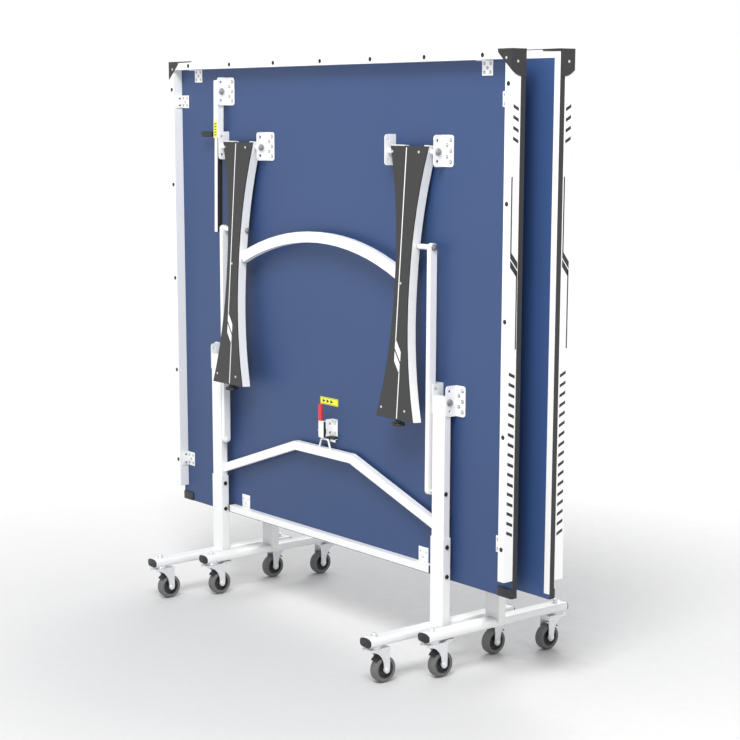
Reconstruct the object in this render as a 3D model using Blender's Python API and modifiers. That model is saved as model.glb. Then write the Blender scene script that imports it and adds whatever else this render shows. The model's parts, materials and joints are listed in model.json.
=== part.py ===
"""Folding table-tennis table, both halves stored upright and nested face to face.

Each half is built in its own frame: X across the table, Z up from the floor, and Y = 0 on the
playing face with the underside towards -Y. The rear half is the front half turned half a turn.
Every size is in metres. The world origin is on the floor under the middle of the nested pair.
"""

import math

import bpy
import bmesh
from mathutils import Matrix, Vector

# Playing surface
TOP_WIDTH = 1.525
TOP_LENGTH = 1.370
TOP_THICK = 0.016
PLAY_HEIGHT = 0.760

# The pair as stored
FACE_GAP = 0.057
SIDE_STEP = 0.060

# Clearances
TOUCH = 0.0003
PIN_PLAY = 0.0006

# Steel frame round the top
APRON_DEPTH = 0.030
APRON_SIDE = 0.023
APRON_END = 0.023
APRON_WALL = 0.0015
APRON_STOP = 0.048
NET_BAR = 0.020
NET_BAR_RISE = 0.0095
NET_BAR_LEFT = -0.483
NET_BAR_RIGHT = 0.4635
NET_BAR_WALL = 0.0015

# Main pivot, on the posts
PIVOT_DEPTH = 0.042
PIVOT_TO_NET = 0.482
PIN_R = 0.005
HEAD_R = 0.0068
HEAD_LONG = 0.0045

# Carriage
POST_X = 0.516
POST_WIDE = 0.048
POST_DEEP = 0.020
POST_Y = -0.0443
POST_WALL = 0.0015
POST_OVER_PIVOT = 0.014
CROSSBAR_TALL = 0.025
CROSSBAR_DEEP = 0.019
CROSSBAR_Y = -0.0355
CROSSBAR_MID_Z = 0.506
CROSSBAR_END_Z = 0.383
CROSSBAR_FLAT = 0.1305
CROSSBAR_WALL = 0.0015
STRIKER_R = 0.003
STRIKER_FOOT = 0.025
STRIKER_HEAD = 0.0165
STRIKER_RISE = 0.0275
STRIKER_X = 0.004

# Foot rails
RAIL_WIDE = 0.044
RAIL_TALL = 0.024
RAIL_Z = 0.115
RAIL_ROUND = 0.009
RAIL_OUT = -0.296
RAIL_IN = 0.208
SLEEVE_WALL = 0.0018
SLEEVE_TOP = 0.357

# Casters
WHEEL_R = 0.035
WHEEL_WIDE = 0.026
TYRE_FLAT = 0.016
CASTER_TRAIL = 0.029
CASTER_OUT_Y = -0.268
CASTER_IN_Y = 0.180
AXLE_R = 0.004
FORK_HALF = 0.0185
FORK_PLATE = 0.0025
FORK_TOP = 0.0965
FORK_CROWN = 0.003
FORK_NOSE = -0.025
FORK_TAIL = 0.0385
FORK_EYE = 0.0095
RACE_R = 0.018
RACE_TALL = 0.0027
NUT_R = 0.006
NUT_TALL = 0.009

# Hinge brackets
BRACKET_TALL = 0.081
BRACKET_RISE = 0.003
BRACKET_REACH = 0.038
BRACKET_FOOT = 0.0365
BRACKET_PLATE = 0.0025
BRACKET_ROUND = 0.008
BRACKET_HOLE_R = 0.004
BRACKET_HOLE_STEP = 0.0265
BRACKET_HOLE_IN = 0.012
BRACKET_SIDE_GAP = 0.0015

# Legs
LEG_X = 0.389
LEG_PIVOT_Y = -0.040
LEG_PIVOT_RISE = 0.6385
LEG_TILT = math.radians(3.85)
LEG_TOP = 0.0135
LEG_LONG = 0.7125
LEG_WAIST = 0.028
LEG_FLARE = 0.0475
LEG_POWER = 2.2
LEG_BAR = 0.004
LEG_FRONT = -0.0134
LEG_BACK = 0.0166
LEG_CHAMFER = 0.012
LEG_STEPS = 14
LEG_HINGE_HALF = 0.097
COVER_THICK = 0.003
TAB_TALL = 0.003
TAB_LONG = 0.052
TAB_SHORT = 0.020
COLLAR_R = 0.007
ARCH_R = 0.868
ARCH_APEX = -0.2425
ARCH_TALL = 0.030
ARCH_DEEP = 0.018
ARCH_WALL = 0.0015
ARCH_STEPS = 16
FOOT_R = 0.018
FOOT_PAD = 0.007
FOOT_NECK_R = 0.010
FOOT_TALL = 0.0165
FOOT_STEM_R = 0.005
FOOT_STEM = 0.030

# Parallel links
LINK_DROP = 0.242
LINK_BACK = -0.0065
LINK_IN = 0.4685
LINK_THICK = 0.014
LINK_WIDE = 0.022
LINK_WALL = 0.002
LINK_SOLID = 0.022

# Locking stay
STAY_PIVOT_Y = -0.040
STAY_PIVOT_Z = 1.517
STAY_X = -0.5045
STAY_WIDE = 0.020
STAY_DEEP = 0.022
STAY_WALL = 0.002
STAY_TUBE_OVER = 0.018
STAY_TUBE_LONG = 0.154
STAY_TUBE_PEAK = 0.0325
STAY_TUBE_HEEL = 0.0195
STAY_BAR_IN = 0.013
STAY_BAR_UNDER = 0.011
STAY_PIN_X = -0.4915
LOCK_UP = 0.011
LOCK_R = 0.0032
LOCK_GRIP_R = 0.0075
LOCK_GRIP = 0.0565
LOCK_NECK = 0.0175

# Storage latch
LATCH_X = -0.003
LATCH_Y = -0.0452
LATCH_PIVOT_Z = 0.568
LATCH_WIDE = 0.024
LATCH_OFFSET = 0.0075
LATCH_DEEP = 0.0085
LATCH_BOTTOM = 0.549
LATCH_TOP = 0.5965
LATCH_GRIP_TOP = 0.6435
LATCH_GRIP_R = 0.0065

NET_EDGE = PLAY_HEIGHT - PIVOT_DEPTH - PIVOT_TO_NET
END_EDGE = NET_EDGE + TOP_LENGTH
UNDERSIDE = -TOP_THICK - TOUCH
PIVOT = Vector((0, -PIVOT_DEPTH, PLAY_HEIGHT - PIVOT_DEPTH))
LEG_PIVOT = Vector((0, LEG_PIVOT_Y, PIVOT.z + LEG_PIVOT_RISE))
LINK_LOW = PIVOT + Vector((0, LINK_BACK, -LINK_DROP))
LINK_HIGH = LEG_PIVOT + Vector((0, LINK_BACK, -LINK_DROP))
STAY_PIVOT = Vector((0, STAY_PIVOT_Y, STAY_PIVOT_Z))
RAIL_TOP = RAIL_Z + RAIL_TALL / 2
RAIL_UNDER = RAIL_Z - RAIL_TALL / 2
LEG_END = LEG_TOP - LEG_LONG

COLLECTION = "table_tennis_table"
HALVES = (("front", 0.0, -1), ("rear", math.pi, 1))

FINISHES = {
    "playing_board": ((0.031, 0.078, 0.212, 1), 0.45, 0.0),
    "white_steel": ((0.86, 0.87, 0.88, 1), 0.35, 0.1),
    "grey_cover": ((0.075, 0.075, 0.078, 1), 0.5, 0.0),
    "black_plastic": ((0.03, 0.03, 0.032, 1), 0.5, 0.0),
    "zinc_plate": ((0.62, 0.63, 0.65, 1), 0.3, 1.0),
    "grey_rubber": ((0.13, 0.13, 0.135, 1), 0.7, 0.0),
    "red_grip": ((0.80, 0.06, 0.07, 1), 0.4, 0.0),
}


def clear_scene():
    for obj in list(bpy.data.objects):
        bpy.data.objects.remove(obj)


def make_collection(name):
    collection = bpy.data.collections.new(name)
    bpy.context.scene.collection.children.link(collection)
    return collection


def make_materials():
    made = {}
    for name, (colour, roughness, metallic) in FINISHES.items():
        material = bpy.data.materials.new(name)
        material.use_nodes = True
        shader = material.node_tree.nodes["Principled BSDF"]
        shader.inputs["Base Color"].default_value = colour
        shader.inputs["Roughness"].default_value = roughness
        shader.inputs["Metallic"].default_value = metallic
        made[name] = material
    return made


def mesh_from(bm, name):
    mesh = bpy.data.meshes.new(name)
    bm.to_mesh(mesh)
    bm.free()
    return mesh


def box(low, high):
    """A box between two corners."""
    low, high = Vector(low), Vector(high)
    bm = bmesh.new()
    bmesh.ops.create_cube(bm, size=1)
    bmesh.ops.scale(bm, vec=high - low, verts=bm.verts)
    bmesh.ops.translate(bm, vec=(low + high) / 2, verts=bm.verts)
    return mesh_from(bm, "box")


def rod(start, end, radius, sides=16):
    """A round bar from one point to another."""
    start, end = Vector(start), Vector(end)
    turn = (end - start).to_track_quat("Z", "Y").to_matrix().to_4x4()
    place = Matrix.Translation((start + end) / 2) @ turn
    bm = bmesh.new()
    bmesh.ops.create_cone(
        bm, cap_ends=True, segments=sides, radius1=radius, radius2=radius,
        depth=(end - start).length, matrix=place,
    )
    return mesh_from(bm, "rod")


def mesh_of_curve(curve, place):
    """The filled, welded mesh of a curve, put in its place."""
    obj = bpy.data.objects.new("guide", curve)
    bpy.context.scene.collection.objects.link(obj)
    graph = bpy.context.evaluated_depsgraph_get()
    mesh = bpy.data.meshes.new_from_object(obj.evaluated_get(graph))
    bpy.data.objects.remove(obj)
    bpy.data.curves.remove(curve)
    bm = bmesh.new()
    bm.from_mesh(mesh)
    bmesh.ops.remove_doubles(bm, verts=bm.verts, dist=0.00001)
    bmesh.ops.transform(bm, matrix=place, verts=bm.verts)
    bmesh.ops.recalc_face_normals(bm, faces=bm.faces)
    bm.to_mesh(mesh)
    bm.free()
    return mesh


def plate(outline, low, high, across):
    """A flat outline given thickness. Across X the outline is (y, z), and across Y it is (x, z)."""
    curve = bpy.data.curves.new("outline", "CURVE")
    curve.dimensions = "2D"
    curve.fill_mode = "BOTH"
    curve.extrude = (high - low) / 2
    spline = curve.splines.new("POLY")
    spline.points.add(len(outline) - 1)
    for point, (u, v) in zip(spline.points, outline):
        point.co = (u, v, 0, 1)
    spline.use_cyclic_u = True
    middle = (low + high) / 2
    if across == "X":
        axes = Matrix(((0, 0, 1, middle), (1, 0, 0, 0), (0, 1, 0, 0), (0, 0, 0, 1)))
    else:
        axes = Matrix(((1, 0, 0, 0), (0, 0, -1, middle), (0, 1, 0, 0), (0, 0, 0, 1)))
    return mesh_of_curve(curve, axes)


def wire(points, radius):
    """A bent round wire."""
    curve = bpy.data.curves.new("wire", "CURVE")
    curve.dimensions = "3D"
    curve.bevel_depth = radius
    curve.bevel_resolution = 1
    curve.use_fill_caps = True
    spline = curve.splines.new("POLY")
    spline.points.add(len(points) - 1)
    for point, place in zip(spline.points, points):
        point.co = (*place, 1)
    return mesh_of_curve(curve, Matrix.Identity(4))


def turned(profile, steps):
    """A profile of (radius, along) points, closed, turned about the X axis by a Screw modifier."""
    bm = bmesh.new()
    points = [bm.verts.new((radius, 0, along)) for radius, along in profile]
    for first, second in zip(points, points[1:] + points[:1]):
        bm.edges.new((first, second))
    obj = bpy.data.objects.new("profile", mesh_from(bm, "profile"))
    bpy.context.scene.collection.objects.link(obj)
    screw = obj.modifiers.new("turn", "SCREW")
    screw.steps = steps
    screw.render_steps = steps
    screw.use_merge_vertices = True
    screw.merge_threshold = 0.00001
    graph = bpy.context.evaluated_depsgraph_get()
    mesh = bpy.data.meshes.new_from_object(obj.evaluated_get(graph))
    bpy.data.objects.remove(obj)
    mesh.transform(Matrix.Rotation(math.pi / 2, 4, "Y"))
    return mesh


def rounded(low, high, radius, corners=(True, True, True, True), steps=4):
    """A rectangle's outline, anticlockwise from its low corner, with the chosen corners rounded."""
    (u0, v0), (u1, v1) = low, high
    centres = (
        ((u0 + radius, v0 + radius), (u0, v0), math.pi),
        ((u1 - radius, v0 + radius), (u1, v0), 1.5 * math.pi),
        ((u1 - radius, v1 - radius), (u1, v1), 0),
        ((u0 + radius, v1 - radius), (u0, v1), 0.5 * math.pi),
    )
    outline = []
    for keep, (centre, corner, start) in zip(corners, centres):
        if not keep:
            outline.append(corner)
            continue
        for step in range(steps + 1):
            angle = start + step / steps * math.pi / 2
            outline.append(
                (centre[0] + radius * math.cos(angle), centre[1] + radius * math.sin(angle))
            )
    return outline


class Half:
    """One half of the table: its name, its placing empty, and the pieces added to it."""

    def __init__(self, name, turn, side, parts, cutters, materials):
        self.name = name
        self.parts = parts
        self.cutters = cutters
        self.materials = materials
        self.empty = bpy.data.objects.new(name + "_half", None)
        self.empty.location = (side * SIDE_STEP / 2, side * FACE_GAP / 2, 0)
        self.empty.rotation_euler = (0, 0, turn)
        parts.objects.link(self.empty)

    def place(self, name, mesh, location, angles, collection):
        obj = bpy.data.objects.new(self.name + "_" + name, mesh)
        collection.objects.link(obj)
        obj.parent = self.empty
        obj.location = location
        obj.rotation_euler = angles
        return obj

    def add(self, name, finish, shapes, cuts=(), location=(0, 0, 0), angles=(0, 0, 0)):
        """One piece: its first shape, joined to the others, with the cuts taken out of it."""
        base = self.place(name, shapes[0], location, angles, self.parts)
        base.data.materials.append(self.materials[finish])
        steps = [(shape, "UNION") for shape in shapes[1:]] + [(cut, "DIFFERENCE") for cut in cuts]
        for number, (mesh, operation) in enumerate(steps):
            tool = self.place(f"{name}_tool_{number}", mesh, location, angles, self.cutters)
            tool.hide_render = True
            tool.display_type = "WIRE"
            modifier = base.modifiers.new(tool.name, "BOOLEAN")
            modifier.operation = operation
            modifier.solver = "EXACT"
            modifier.object = tool
        base.data.shade_smooth()
        base.data.set_sharp_from_angle(angle=math.radians(35))
        return base


def tabletop():
    return [box((-TOP_WIDTH / 2, -TOP_THICK, NET_EDGE), (TOP_WIDTH / 2, 0, END_EDGE))]


def apron_boxes(inset, open_end):
    """The three tubes of the apron as boxes, drawn in by a wall, or let out past their open ends."""
    side = TOP_WIDTH / 2
    front = UNDERSIDE - APRON_DEPTH
    stop = NET_EDGE + APRON_STOP
    made = []
    for sign in (-1, 1):
        edges = sorted((sign * (side - inset), sign * (side - APRON_SIDE + inset)))
        made.append(
            box(
                (edges[0], front + inset, stop - open_end),
                (edges[1], UNDERSIDE - inset, END_EDGE - inset),
            )
        )
    made.append(
        box(
            (inset - side, front + inset, END_EDGE - APRON_END + inset),
            (side - inset, UNDERSIDE - inset, END_EDGE - inset),
        )
    )
    return made


def net_bar():
    low = Vector((NET_BAR_LEFT, UNDERSIDE - NET_BAR, NET_EDGE + NET_BAR_RISE))
    high = Vector((NET_BAR_RIGHT, UNDERSIDE, NET_EDGE + NET_BAR_RISE + NET_BAR))
    wall = Vector((-NET_BAR_WALL, NET_BAR_WALL, NET_BAR_WALL))
    return [box(low, high)], [box(low + wall, high - wall)]


def bracket(x, pivot, way, rise=BRACKET_RISE):
    """A folded bracket whose pivot plate starts at x and whose foot lies on the underside.

    The foot points towards +X where way is 1 and towards -X where it is -1. The plate has two
    spare holes, over and under the pivot.
    """
    front = UNDERSIDE - BRACKET_REACH
    middle = pivot.z + rise
    low = middle - BRACKET_TALL / 2
    high = middle + BRACKET_TALL / 2
    side = rounded((front, low), (UNDERSIDE, high), BRACKET_ROUND, (True, False, False, True))
    if way > 0:
        foot = rounded((x, low), (x + BRACKET_FOOT, high), BRACKET_ROUND, (False, True, True, False))
    else:
        end = x + BRACKET_PLATE
        foot = rounded((end - BRACKET_FOOT, low), (end, high), BRACKET_ROUND, (True, False, False, True))
    shapes = [
        plate(side, x, x + BRACKET_PLATE, "X"),
        plate(foot, UNDERSIDE - BRACKET_PLATE, UNDERSIDE, "Y"),
    ]
    cuts = []
    for sign in (-1, 1):
        centre = Vector((x, front + BRACKET_HOLE_IN, middle + sign * BRACKET_HOLE_STEP))
        reach = Vector((2 * BRACKET_PLATE, 0, 0))
        cuts.append(rod(centre - reach, centre + reach, BRACKET_HOLE_R, 10))
    return shapes, cuts


def pin_with_heads(x0, x1, pivot, radius=PIN_R):
    """A pivot pin along X with a head past each end."""
    at = Vector((0, pivot.y, pivot.z))
    shapes = [rod(at + Vector((x0 - HEAD_LONG / 2, 0, 0)), at + Vector((x1 + HEAD_LONG / 2, 0, 0)), radius)]
    for x, way in ((x0, -1), (x1, 1)):
        start = at + Vector((x - way * TOUCH, 0, 0))
        shapes.append(rod(start, start + Vector((way * HEAD_LONG, 0, 0)), HEAD_R, 12))
    return shapes


def top_hinge(sign):
    """Two brackets that straddle a post, with the pin through them and the post."""
    centre = sign * POST_X
    reach = POST_WIDE / 2 + BRACKET_SIDE_GAP
    left = centre - reach - BRACKET_PLATE
    right = centre + reach
    shapes, cuts = bracket(left, PIVOT, -1)
    more, more_cuts = bracket(right, PIVOT, 1)
    pin = pin_with_heads(left, right + BRACKET_PLATE, PIVOT)
    return shapes + more + pin, cuts + more_cuts


def leg_hinge(sign):
    """Two brackets either side of a leg, with the pin and its two collars."""
    centre = sign * LEG_X
    left = centre - LEG_HINGE_HALF - BRACKET_PLATE
    right = centre + LEG_HINGE_HALF
    shapes, cuts = bracket(left, LEG_PIVOT, -1)
    more, more_cuts = bracket(right, LEG_PIVOT, 1)
    pin = pin_with_heads(left, right + BRACKET_PLATE, LEG_PIVOT)
    collar_end = leg_half_width(LEG_TOP) + TOUCH
    collars = []
    for way in (-1, 1):
        start = LEG_PIVOT + Vector((centre + way * collar_end, 0, 0))
        end = LEG_PIVOT + Vector((centre + way * (LEG_HINGE_HALF + BRACKET_PLATE / 2), 0, 0))
        collars.append(rod(start, end, COLLAR_R, 12))
    return shapes + more + pin + collars, cuts + more_cuts


def stay_bracket():
    """The bracket of the locking stay, with its pivot pin out to the stay's far side."""
    shapes, cuts = bracket(STAY_PIN_X, STAY_PIVOT, 1, 0)
    far = STAY_X - STAY_WIDE / 2 - 2 * TOUCH
    shapes += pin_with_heads(far, STAY_PIN_X + BRACKET_PLATE, STAY_PIVOT, AXLE_R)
    return shapes, cuts


def crossbar_outline(inset, reach):
    """The crossbar's outline, level in the middle and sloping down to both posts."""
    slope = (CROSSBAR_MID_Z - CROSSBAR_END_Z) / (POST_X - POST_WIDE / 2 - CROSSBAR_FLAT)
    half = CROSSBAR_TALL / 2 - inset
    lean = half * math.tan(math.atan(slope) / 2)
    sloped_half = half / math.cos(math.atan(slope))
    end_z = CROSSBAR_MID_Z - slope * (reach - CROSSBAR_FLAT)
    top = [
        (reach, end_z + sloped_half),
        (CROSSBAR_FLAT + lean, CROSSBAR_MID_Z + half),
    ]
    bottom = [
        (CROSSBAR_FLAT - lean, CROSSBAR_MID_Z - half),
        (reach, end_z - sloped_half),
    ]
    right = top + bottom
    left = [(-x, z) for x, z in reversed(right)]
    return top[:1] + top[1:] + left[2:] + left[:2] + bottom


def post(sign, inset, low):
    """A post as a box, drawn in by its wall."""
    x = sign * POST_X
    wide = POST_WIDE / 2 - inset
    deep = POST_DEEP / 2 - inset
    high = PIVOT.z + POST_OVER_PIVOT - inset
    return box((x - wide, POST_Y - deep, low), (x + wide, POST_Y + deep, high))


def striker():
    """The wire loop on the crossbar that the storage latch holds."""
    base = CROSSBAR_MID_Z + CROSSBAR_TALL / 2 - CROSSBAR_WALL / 2
    head = CROSSBAR_MID_Z + CROSSBAR_TALL / 2 + STRIKER_RISE - STRIKER_R
    neck = head - STRIKER_R
    ends = (
        (-STRIKER_FOOT, base), (-STRIKER_HEAD, neck), (-STRIKER_HEAD + STRIKER_R, head),
        (STRIKER_HEAD - STRIKER_R, head), (STRIKER_HEAD, neck), (STRIKER_FOOT, base),
    )
    return wire([(STRIKER_X + x, CROSSBAR_Y, z) for x, z in ends], STRIKER_R)


def carriage_frame():
    """Two posts and the bent crossbar, hollow, with the striker and the link pins."""
    seat = RAIL_TOP + TOUCH
    deep = CROSSBAR_DEEP / 2
    inner = POST_X - POST_WIDE / 2
    shapes = [
        plate(crossbar_outline(0, inner + TOUCH), CROSSBAR_Y - deep, CROSSBAR_Y + deep, "Y"),
        post(-1, 0, seat),
        post(1, 0, seat),
        striker(),
    ]
    hollow = deep - CROSSBAR_WALL
    cuts = [
        post(-1, POST_WALL, seat - POST_WALL),
        post(1, POST_WALL, seat - POST_WALL),
        plate(
            crossbar_outline(CROSSBAR_WALL, inner + 2 * TOUCH),
            CROSSBAR_Y - hollow, CROSSBAR_Y + hollow, "Y",
        ),
    ]
    bore = PIN_R + PIN_PLAY
    for sign in (-1, 1):
        post_side = Vector((sign * (inner + POST_WALL / 2), LINK_LOW.y, LINK_LOW.z))
        link_side = Vector((sign * (LINK_IN - TOUCH), LINK_LOW.y, LINK_LOW.z))
        head = Vector((-sign * HEAD_LONG, 0, 0))
        shapes.append(rod(post_side, link_side + head / 2, AXLE_R, 12))
        shapes.append(rod(link_side, link_side + head, HEAD_R, 12))
        through = Vector((POST_WIDE, 0, 0))
        centre = PIVOT + Vector((sign * POST_X, 0, 0))
        cuts.append(rod(centre - through, centre + through, bore))
    return shapes, cuts


def rail(sign):
    """A foot rail with the sleeve that takes the post, and the fixed half of each caster race."""
    x = sign * POST_X
    outline = rounded(
        (x - RAIL_WIDE / 2, RAIL_UNDER), (x + RAIL_WIDE / 2, RAIL_TOP), RAIL_ROUND, steps=3
    )
    wide = POST_WIDE / 2 + TOUCH
    deep = POST_DEEP / 2 + TOUCH
    shapes = [
        plate(outline, RAIL_OUT, RAIL_IN, "Y"),
        box(
            (x - wide - SLEEVE_WALL, POST_Y - deep - SLEEVE_WALL, RAIL_Z),
            (x + wide + SLEEVE_WALL, POST_Y + deep + SLEEVE_WALL, SLEEVE_TOP),
        ),
    ]
    for y in (CASTER_OUT_Y, CASTER_IN_Y):
        race = FORK_TOP + RACE_TALL + TOUCH
        shapes.append(rod((x, y, race), (x, y, RAIL_Z), RACE_R))
        shapes.append(rod((x, y, RAIL_Z), (x, y, RAIL_TOP + NUT_TALL), NUT_R, 10))
    cuts = [box((x - wide, POST_Y - deep, RAIL_TOP), (x + wide, POST_Y + deep, SLEEVE_TOP + deep))]
    return shapes, cuts


def fork():
    """A caster fork about its swivel axis: crown, two side plates, axle and the race ring."""
    eye_y, eye_z = CASTER_TRAIL, WHEEL_R
    nose_z = FORK_TOP - 2 * FORK_CROWN
    neck_z = eye_z + FORK_EYE
    outline = [(FORK_NOSE, FORK_TOP)]
    steps = 5
    for step in range(steps + 1):
        angle = step / steps * math.pi / 2
        run = (eye_y - FORK_EYE - FORK_NOSE) * math.sin(angle)
        outline.append((FORK_NOSE + run, neck_z + (nose_z - neck_z) * math.cos(angle)))
    for step in range(steps + 1):
        angle = math.pi + step / steps * math.pi
        outline.append((eye_y + FORK_EYE * math.cos(angle), eye_z + FORK_EYE * math.sin(angle)))
    outline += [(FORK_TAIL, eye_z + FORK_EYE), (FORK_TAIL, FORK_TOP)]
    shapes = [
        box((-FORK_HALF, FORK_NOSE, FORK_TOP - FORK_CROWN), (FORK_HALF, FORK_TAIL, FORK_TOP)),
        plate(outline, -FORK_HALF, FORK_PLATE - FORK_HALF, "X"),
        plate(outline, FORK_HALF - FORK_PLATE, FORK_HALF, "X"),
        rod((-FORK_HALF - FORK_PLATE, eye_y, eye_z), (FORK_HALF + FORK_PLATE, eye_y, eye_z), AXLE_R, 12),
        rod((0, 0, FORK_TOP - FORK_CROWN / 2), (0, 0, FORK_TOP + RACE_TALL), RACE_R),
    ]
    return shapes


def wheel():
    half = WHEEL_WIDE / 2
    bore = AXLE_R + PIN_PLAY
    shoulder = WHEEL_R - (WHEEL_WIDE - TYRE_FLAT) / 2
    profile = [
        (bore, half), (shoulder, half), (WHEEL_R, TYRE_FLAT / 2),
        (WHEEL_R, -TYRE_FLAT / 2), (shoulder, -half), (bore, -half),
    ]
    return [turned(profile, 24)]


def leg_half_width(z):
    """Half the leg's width at height z under its pivot: narrow at the waist, flared to both ends."""
    middle = LEG_TOP - LEG_LONG / 2
    share = abs(z - middle) / (LEG_LONG / 2)
    return LEG_WAIST + LEG_FLARE * share ** LEG_POWER


def leg_heights():
    return [LEG_TOP - LEG_LONG * step / LEG_STEPS for step in range(LEG_STEPS + 1)]


def leg_loop(x):
    """A leg's flat bar, bent round the cover's edge and turned in at the top as two short tabs."""
    edge = [(leg_half_width(z), z) for z in leg_heights()]
    top = LEG_TOP + TAB_TALL
    edge[0] = (edge[0][0], top)
    inside = [(max(u - LEG_BAR, 0), z) for u, z in edge[1:-1]]
    half_top = leg_half_width(LEG_TOP)
    half_end = leg_half_width(LEG_END)
    under = top - LEG_BAR
    over = LEG_END + LEG_BAR
    right = [(half_top - TAB_SHORT, top)] + edge
    left = [(-u, z) for u, z in reversed(edge)] + [(TAB_LONG - half_top, top)]
    left_inside = [(TAB_LONG - half_top, under), (LEG_BAR - half_top + LEG_BAR / 4, under)]
    left_inside += [(-u, z) for u, z in inside] + [(LEG_BAR - half_end + LEG_BAR / 4, over)]
    right_inside = [(half_end - LEG_BAR - LEG_BAR / 4, over)] + inside[::-1]
    right_inside += [(half_top - LEG_BAR - LEG_BAR / 4, under), (half_top - TAB_SHORT, under)]
    outline = right + left + left_inside + right_inside
    return plate([(x + u, z) for u, z in outline], LEG_FRONT + COVER_THICK + TOUCH, LEG_BACK, "Y")


def leg_frame():
    """Both legs and the arch between them, about the leg pivot, before the legs lean out."""
    shapes = []
    cuts = []
    half_top = leg_half_width(LEG_TOP)
    axle = LINK_HIGH - LEG_PIVOT
    axle.rotate(Matrix.Rotation(LEG_TILT, 4, "X").to_quaternion())
    side = leg_half_width(axle.z)
    hole = PIN_R + PIN_PLAY
    bolt = (LEG_FRONT + LEG_BACK) / 2
    for sign in (-1, 1):
        x = sign * LEG_X
        shapes.append(leg_loop(x))
        boss = sign * (LINK_IN - TOUCH)
        root = (x + sign * (side - LEG_BAR / 2), axle.y, axle.z)
        shapes.append(rod(root, (boss, axle.y, axle.z), COLLAR_R, 12))
        past = STAY_X + STAY_WIDE / 2 + 3 * TOUCH
        end = past if sign < 0 else LINK_IN + LINK_THICK + HEAD_LONG
        root = (boss - sign * COLLAR_R, axle.y, axle.z)
        shapes.append(rod(root, (end, axle.y, axle.z), AXLE_R, 12))
        through = Vector((half_top * 1.2, 0, 0))
        cuts.append(rod(Vector((x, 0, 0)) - through, Vector((x, 0, 0)) + through, hole))
        thread = FOOT_STEM_R + 2 * PIN_PLAY
        cuts.append(rod((x, bolt, LEG_END - LEG_BAR), (x, bolt, LEG_END + 2 * LEG_BAR), thread, 12))
    reach = LEG_X - leg_half_width(ARCH_APEX) + LEG_BAR / 2
    low, high = LEG_BACK - ARCH_DEEP, LEG_BACK - 2 * TOUCH
    shapes.append(arch(ARCH_TALL / 2, low, high, reach))
    hollow = arch(ARCH_TALL / 2 - ARCH_WALL, low + ARCH_WALL, high - ARCH_WALL, reach + 2 * LEG_BAR)
    cuts.append(hollow)
    wedge = box((-TOP_WIDTH / 2, 0, 0), (TOP_WIDTH / 2, APRON_DEPTH, APRON_DEPTH))
    wedge.transform(Matrix.Rotation(-math.pi / 4, 4, "X"))
    wedge.transform(Matrix.Translation((0, LEG_BACK - LEG_CHAMFER, LEG_TOP + TAB_TALL)))
    cuts.append(wedge)
    return shapes, cuts


def arch(half, low, high, reach):
    """A level arc of constant height between the legs, its crown at ARCH_APEX under the leg pivot."""
    outline = []
    for radius, way in ((ARCH_R + half, 1), (ARCH_R - half, -1)):
        limit = math.asin(reach / ARCH_R)
        for step in range(ARCH_STEPS + 1):
            angle = way * limit * (2 * step / ARCH_STEPS - 1)
            outline.append((radius * math.sin(angle), ARCH_APEX - ARCH_R + radius * math.cos(angle)))
    return plate(outline, low, high, "Y")


def leg_cover():
    right = [(leg_half_width(z), z) for z in leg_heights()]
    left = [(-u, z) for u, z in reversed(right)]
    return [plate(right + left, LEG_FRONT, LEG_FRONT + COVER_THICK, "Y")]


def foot_centre():
    """Where the levelling foot's axis meets the leg's lower end, from the leg pivot."""
    centre = Vector((0, (LEG_FRONT + LEG_BACK) / 2, LEG_END))
    centre.rotate(Matrix.Rotation(-LEG_TILT, 4, "X").to_quaternion())
    return centre


def foot():
    """A levelling foot: a round pad, its neck, and the screw that goes up into the leg."""
    neck = 2 * TOUCH - FOOT_TALL
    return [
        rod((0, 0, -FOOT_TALL), (0, 0, FOOT_PAD - FOOT_TALL), FOOT_R, 24),
        rod((0, 0, neck), (0, 0, -FOOT_TALL / 5), FOOT_NECK_R, 12),
        rod((0, 0, -FOOT_TALL / 2), (0, 0, FOOT_STEM), FOOT_STEM_R, 12),
    ]


def link():
    """A parallel link about its lower pivot, open at the back between its solid ends."""
    end = LINK_HIGH - LINK_LOW
    thick = LINK_THICK / 2
    outline = rounded(
        (-LINK_WIDE / 2, -LINK_WIDE / 2), (LINK_WIDE / 2, end.length + LINK_WIDE / 2),
        LINK_WIDE / 2 - TOUCH, steps=4,
    )
    shapes = [plate(outline, -thick, thick, "X")]
    cuts = [
        box(
            (LINK_WALL - thick, LINK_WALL - LINK_WIDE / 2, LINK_SOLID),
            (thick - LINK_WALL, LINK_WIDE, end.length - LINK_SOLID),
        ),
        rod((-LINK_THICK, 0, 0), (LINK_THICK, 0, 0), AXLE_R + PIN_PLAY),
        rod((-LINK_THICK, 0, end.length), (LINK_THICK, 0, end.length), AXLE_R + PIN_PLAY),
    ]
    return shapes, cuts


def link_lean():
    end = LINK_HIGH - LINK_LOW
    return -math.atan2(end.y, end.z)


def stay_lean():
    run = LINK_HIGH - STAY_PIVOT
    return math.atan2(run.y, -run.z)


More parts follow.
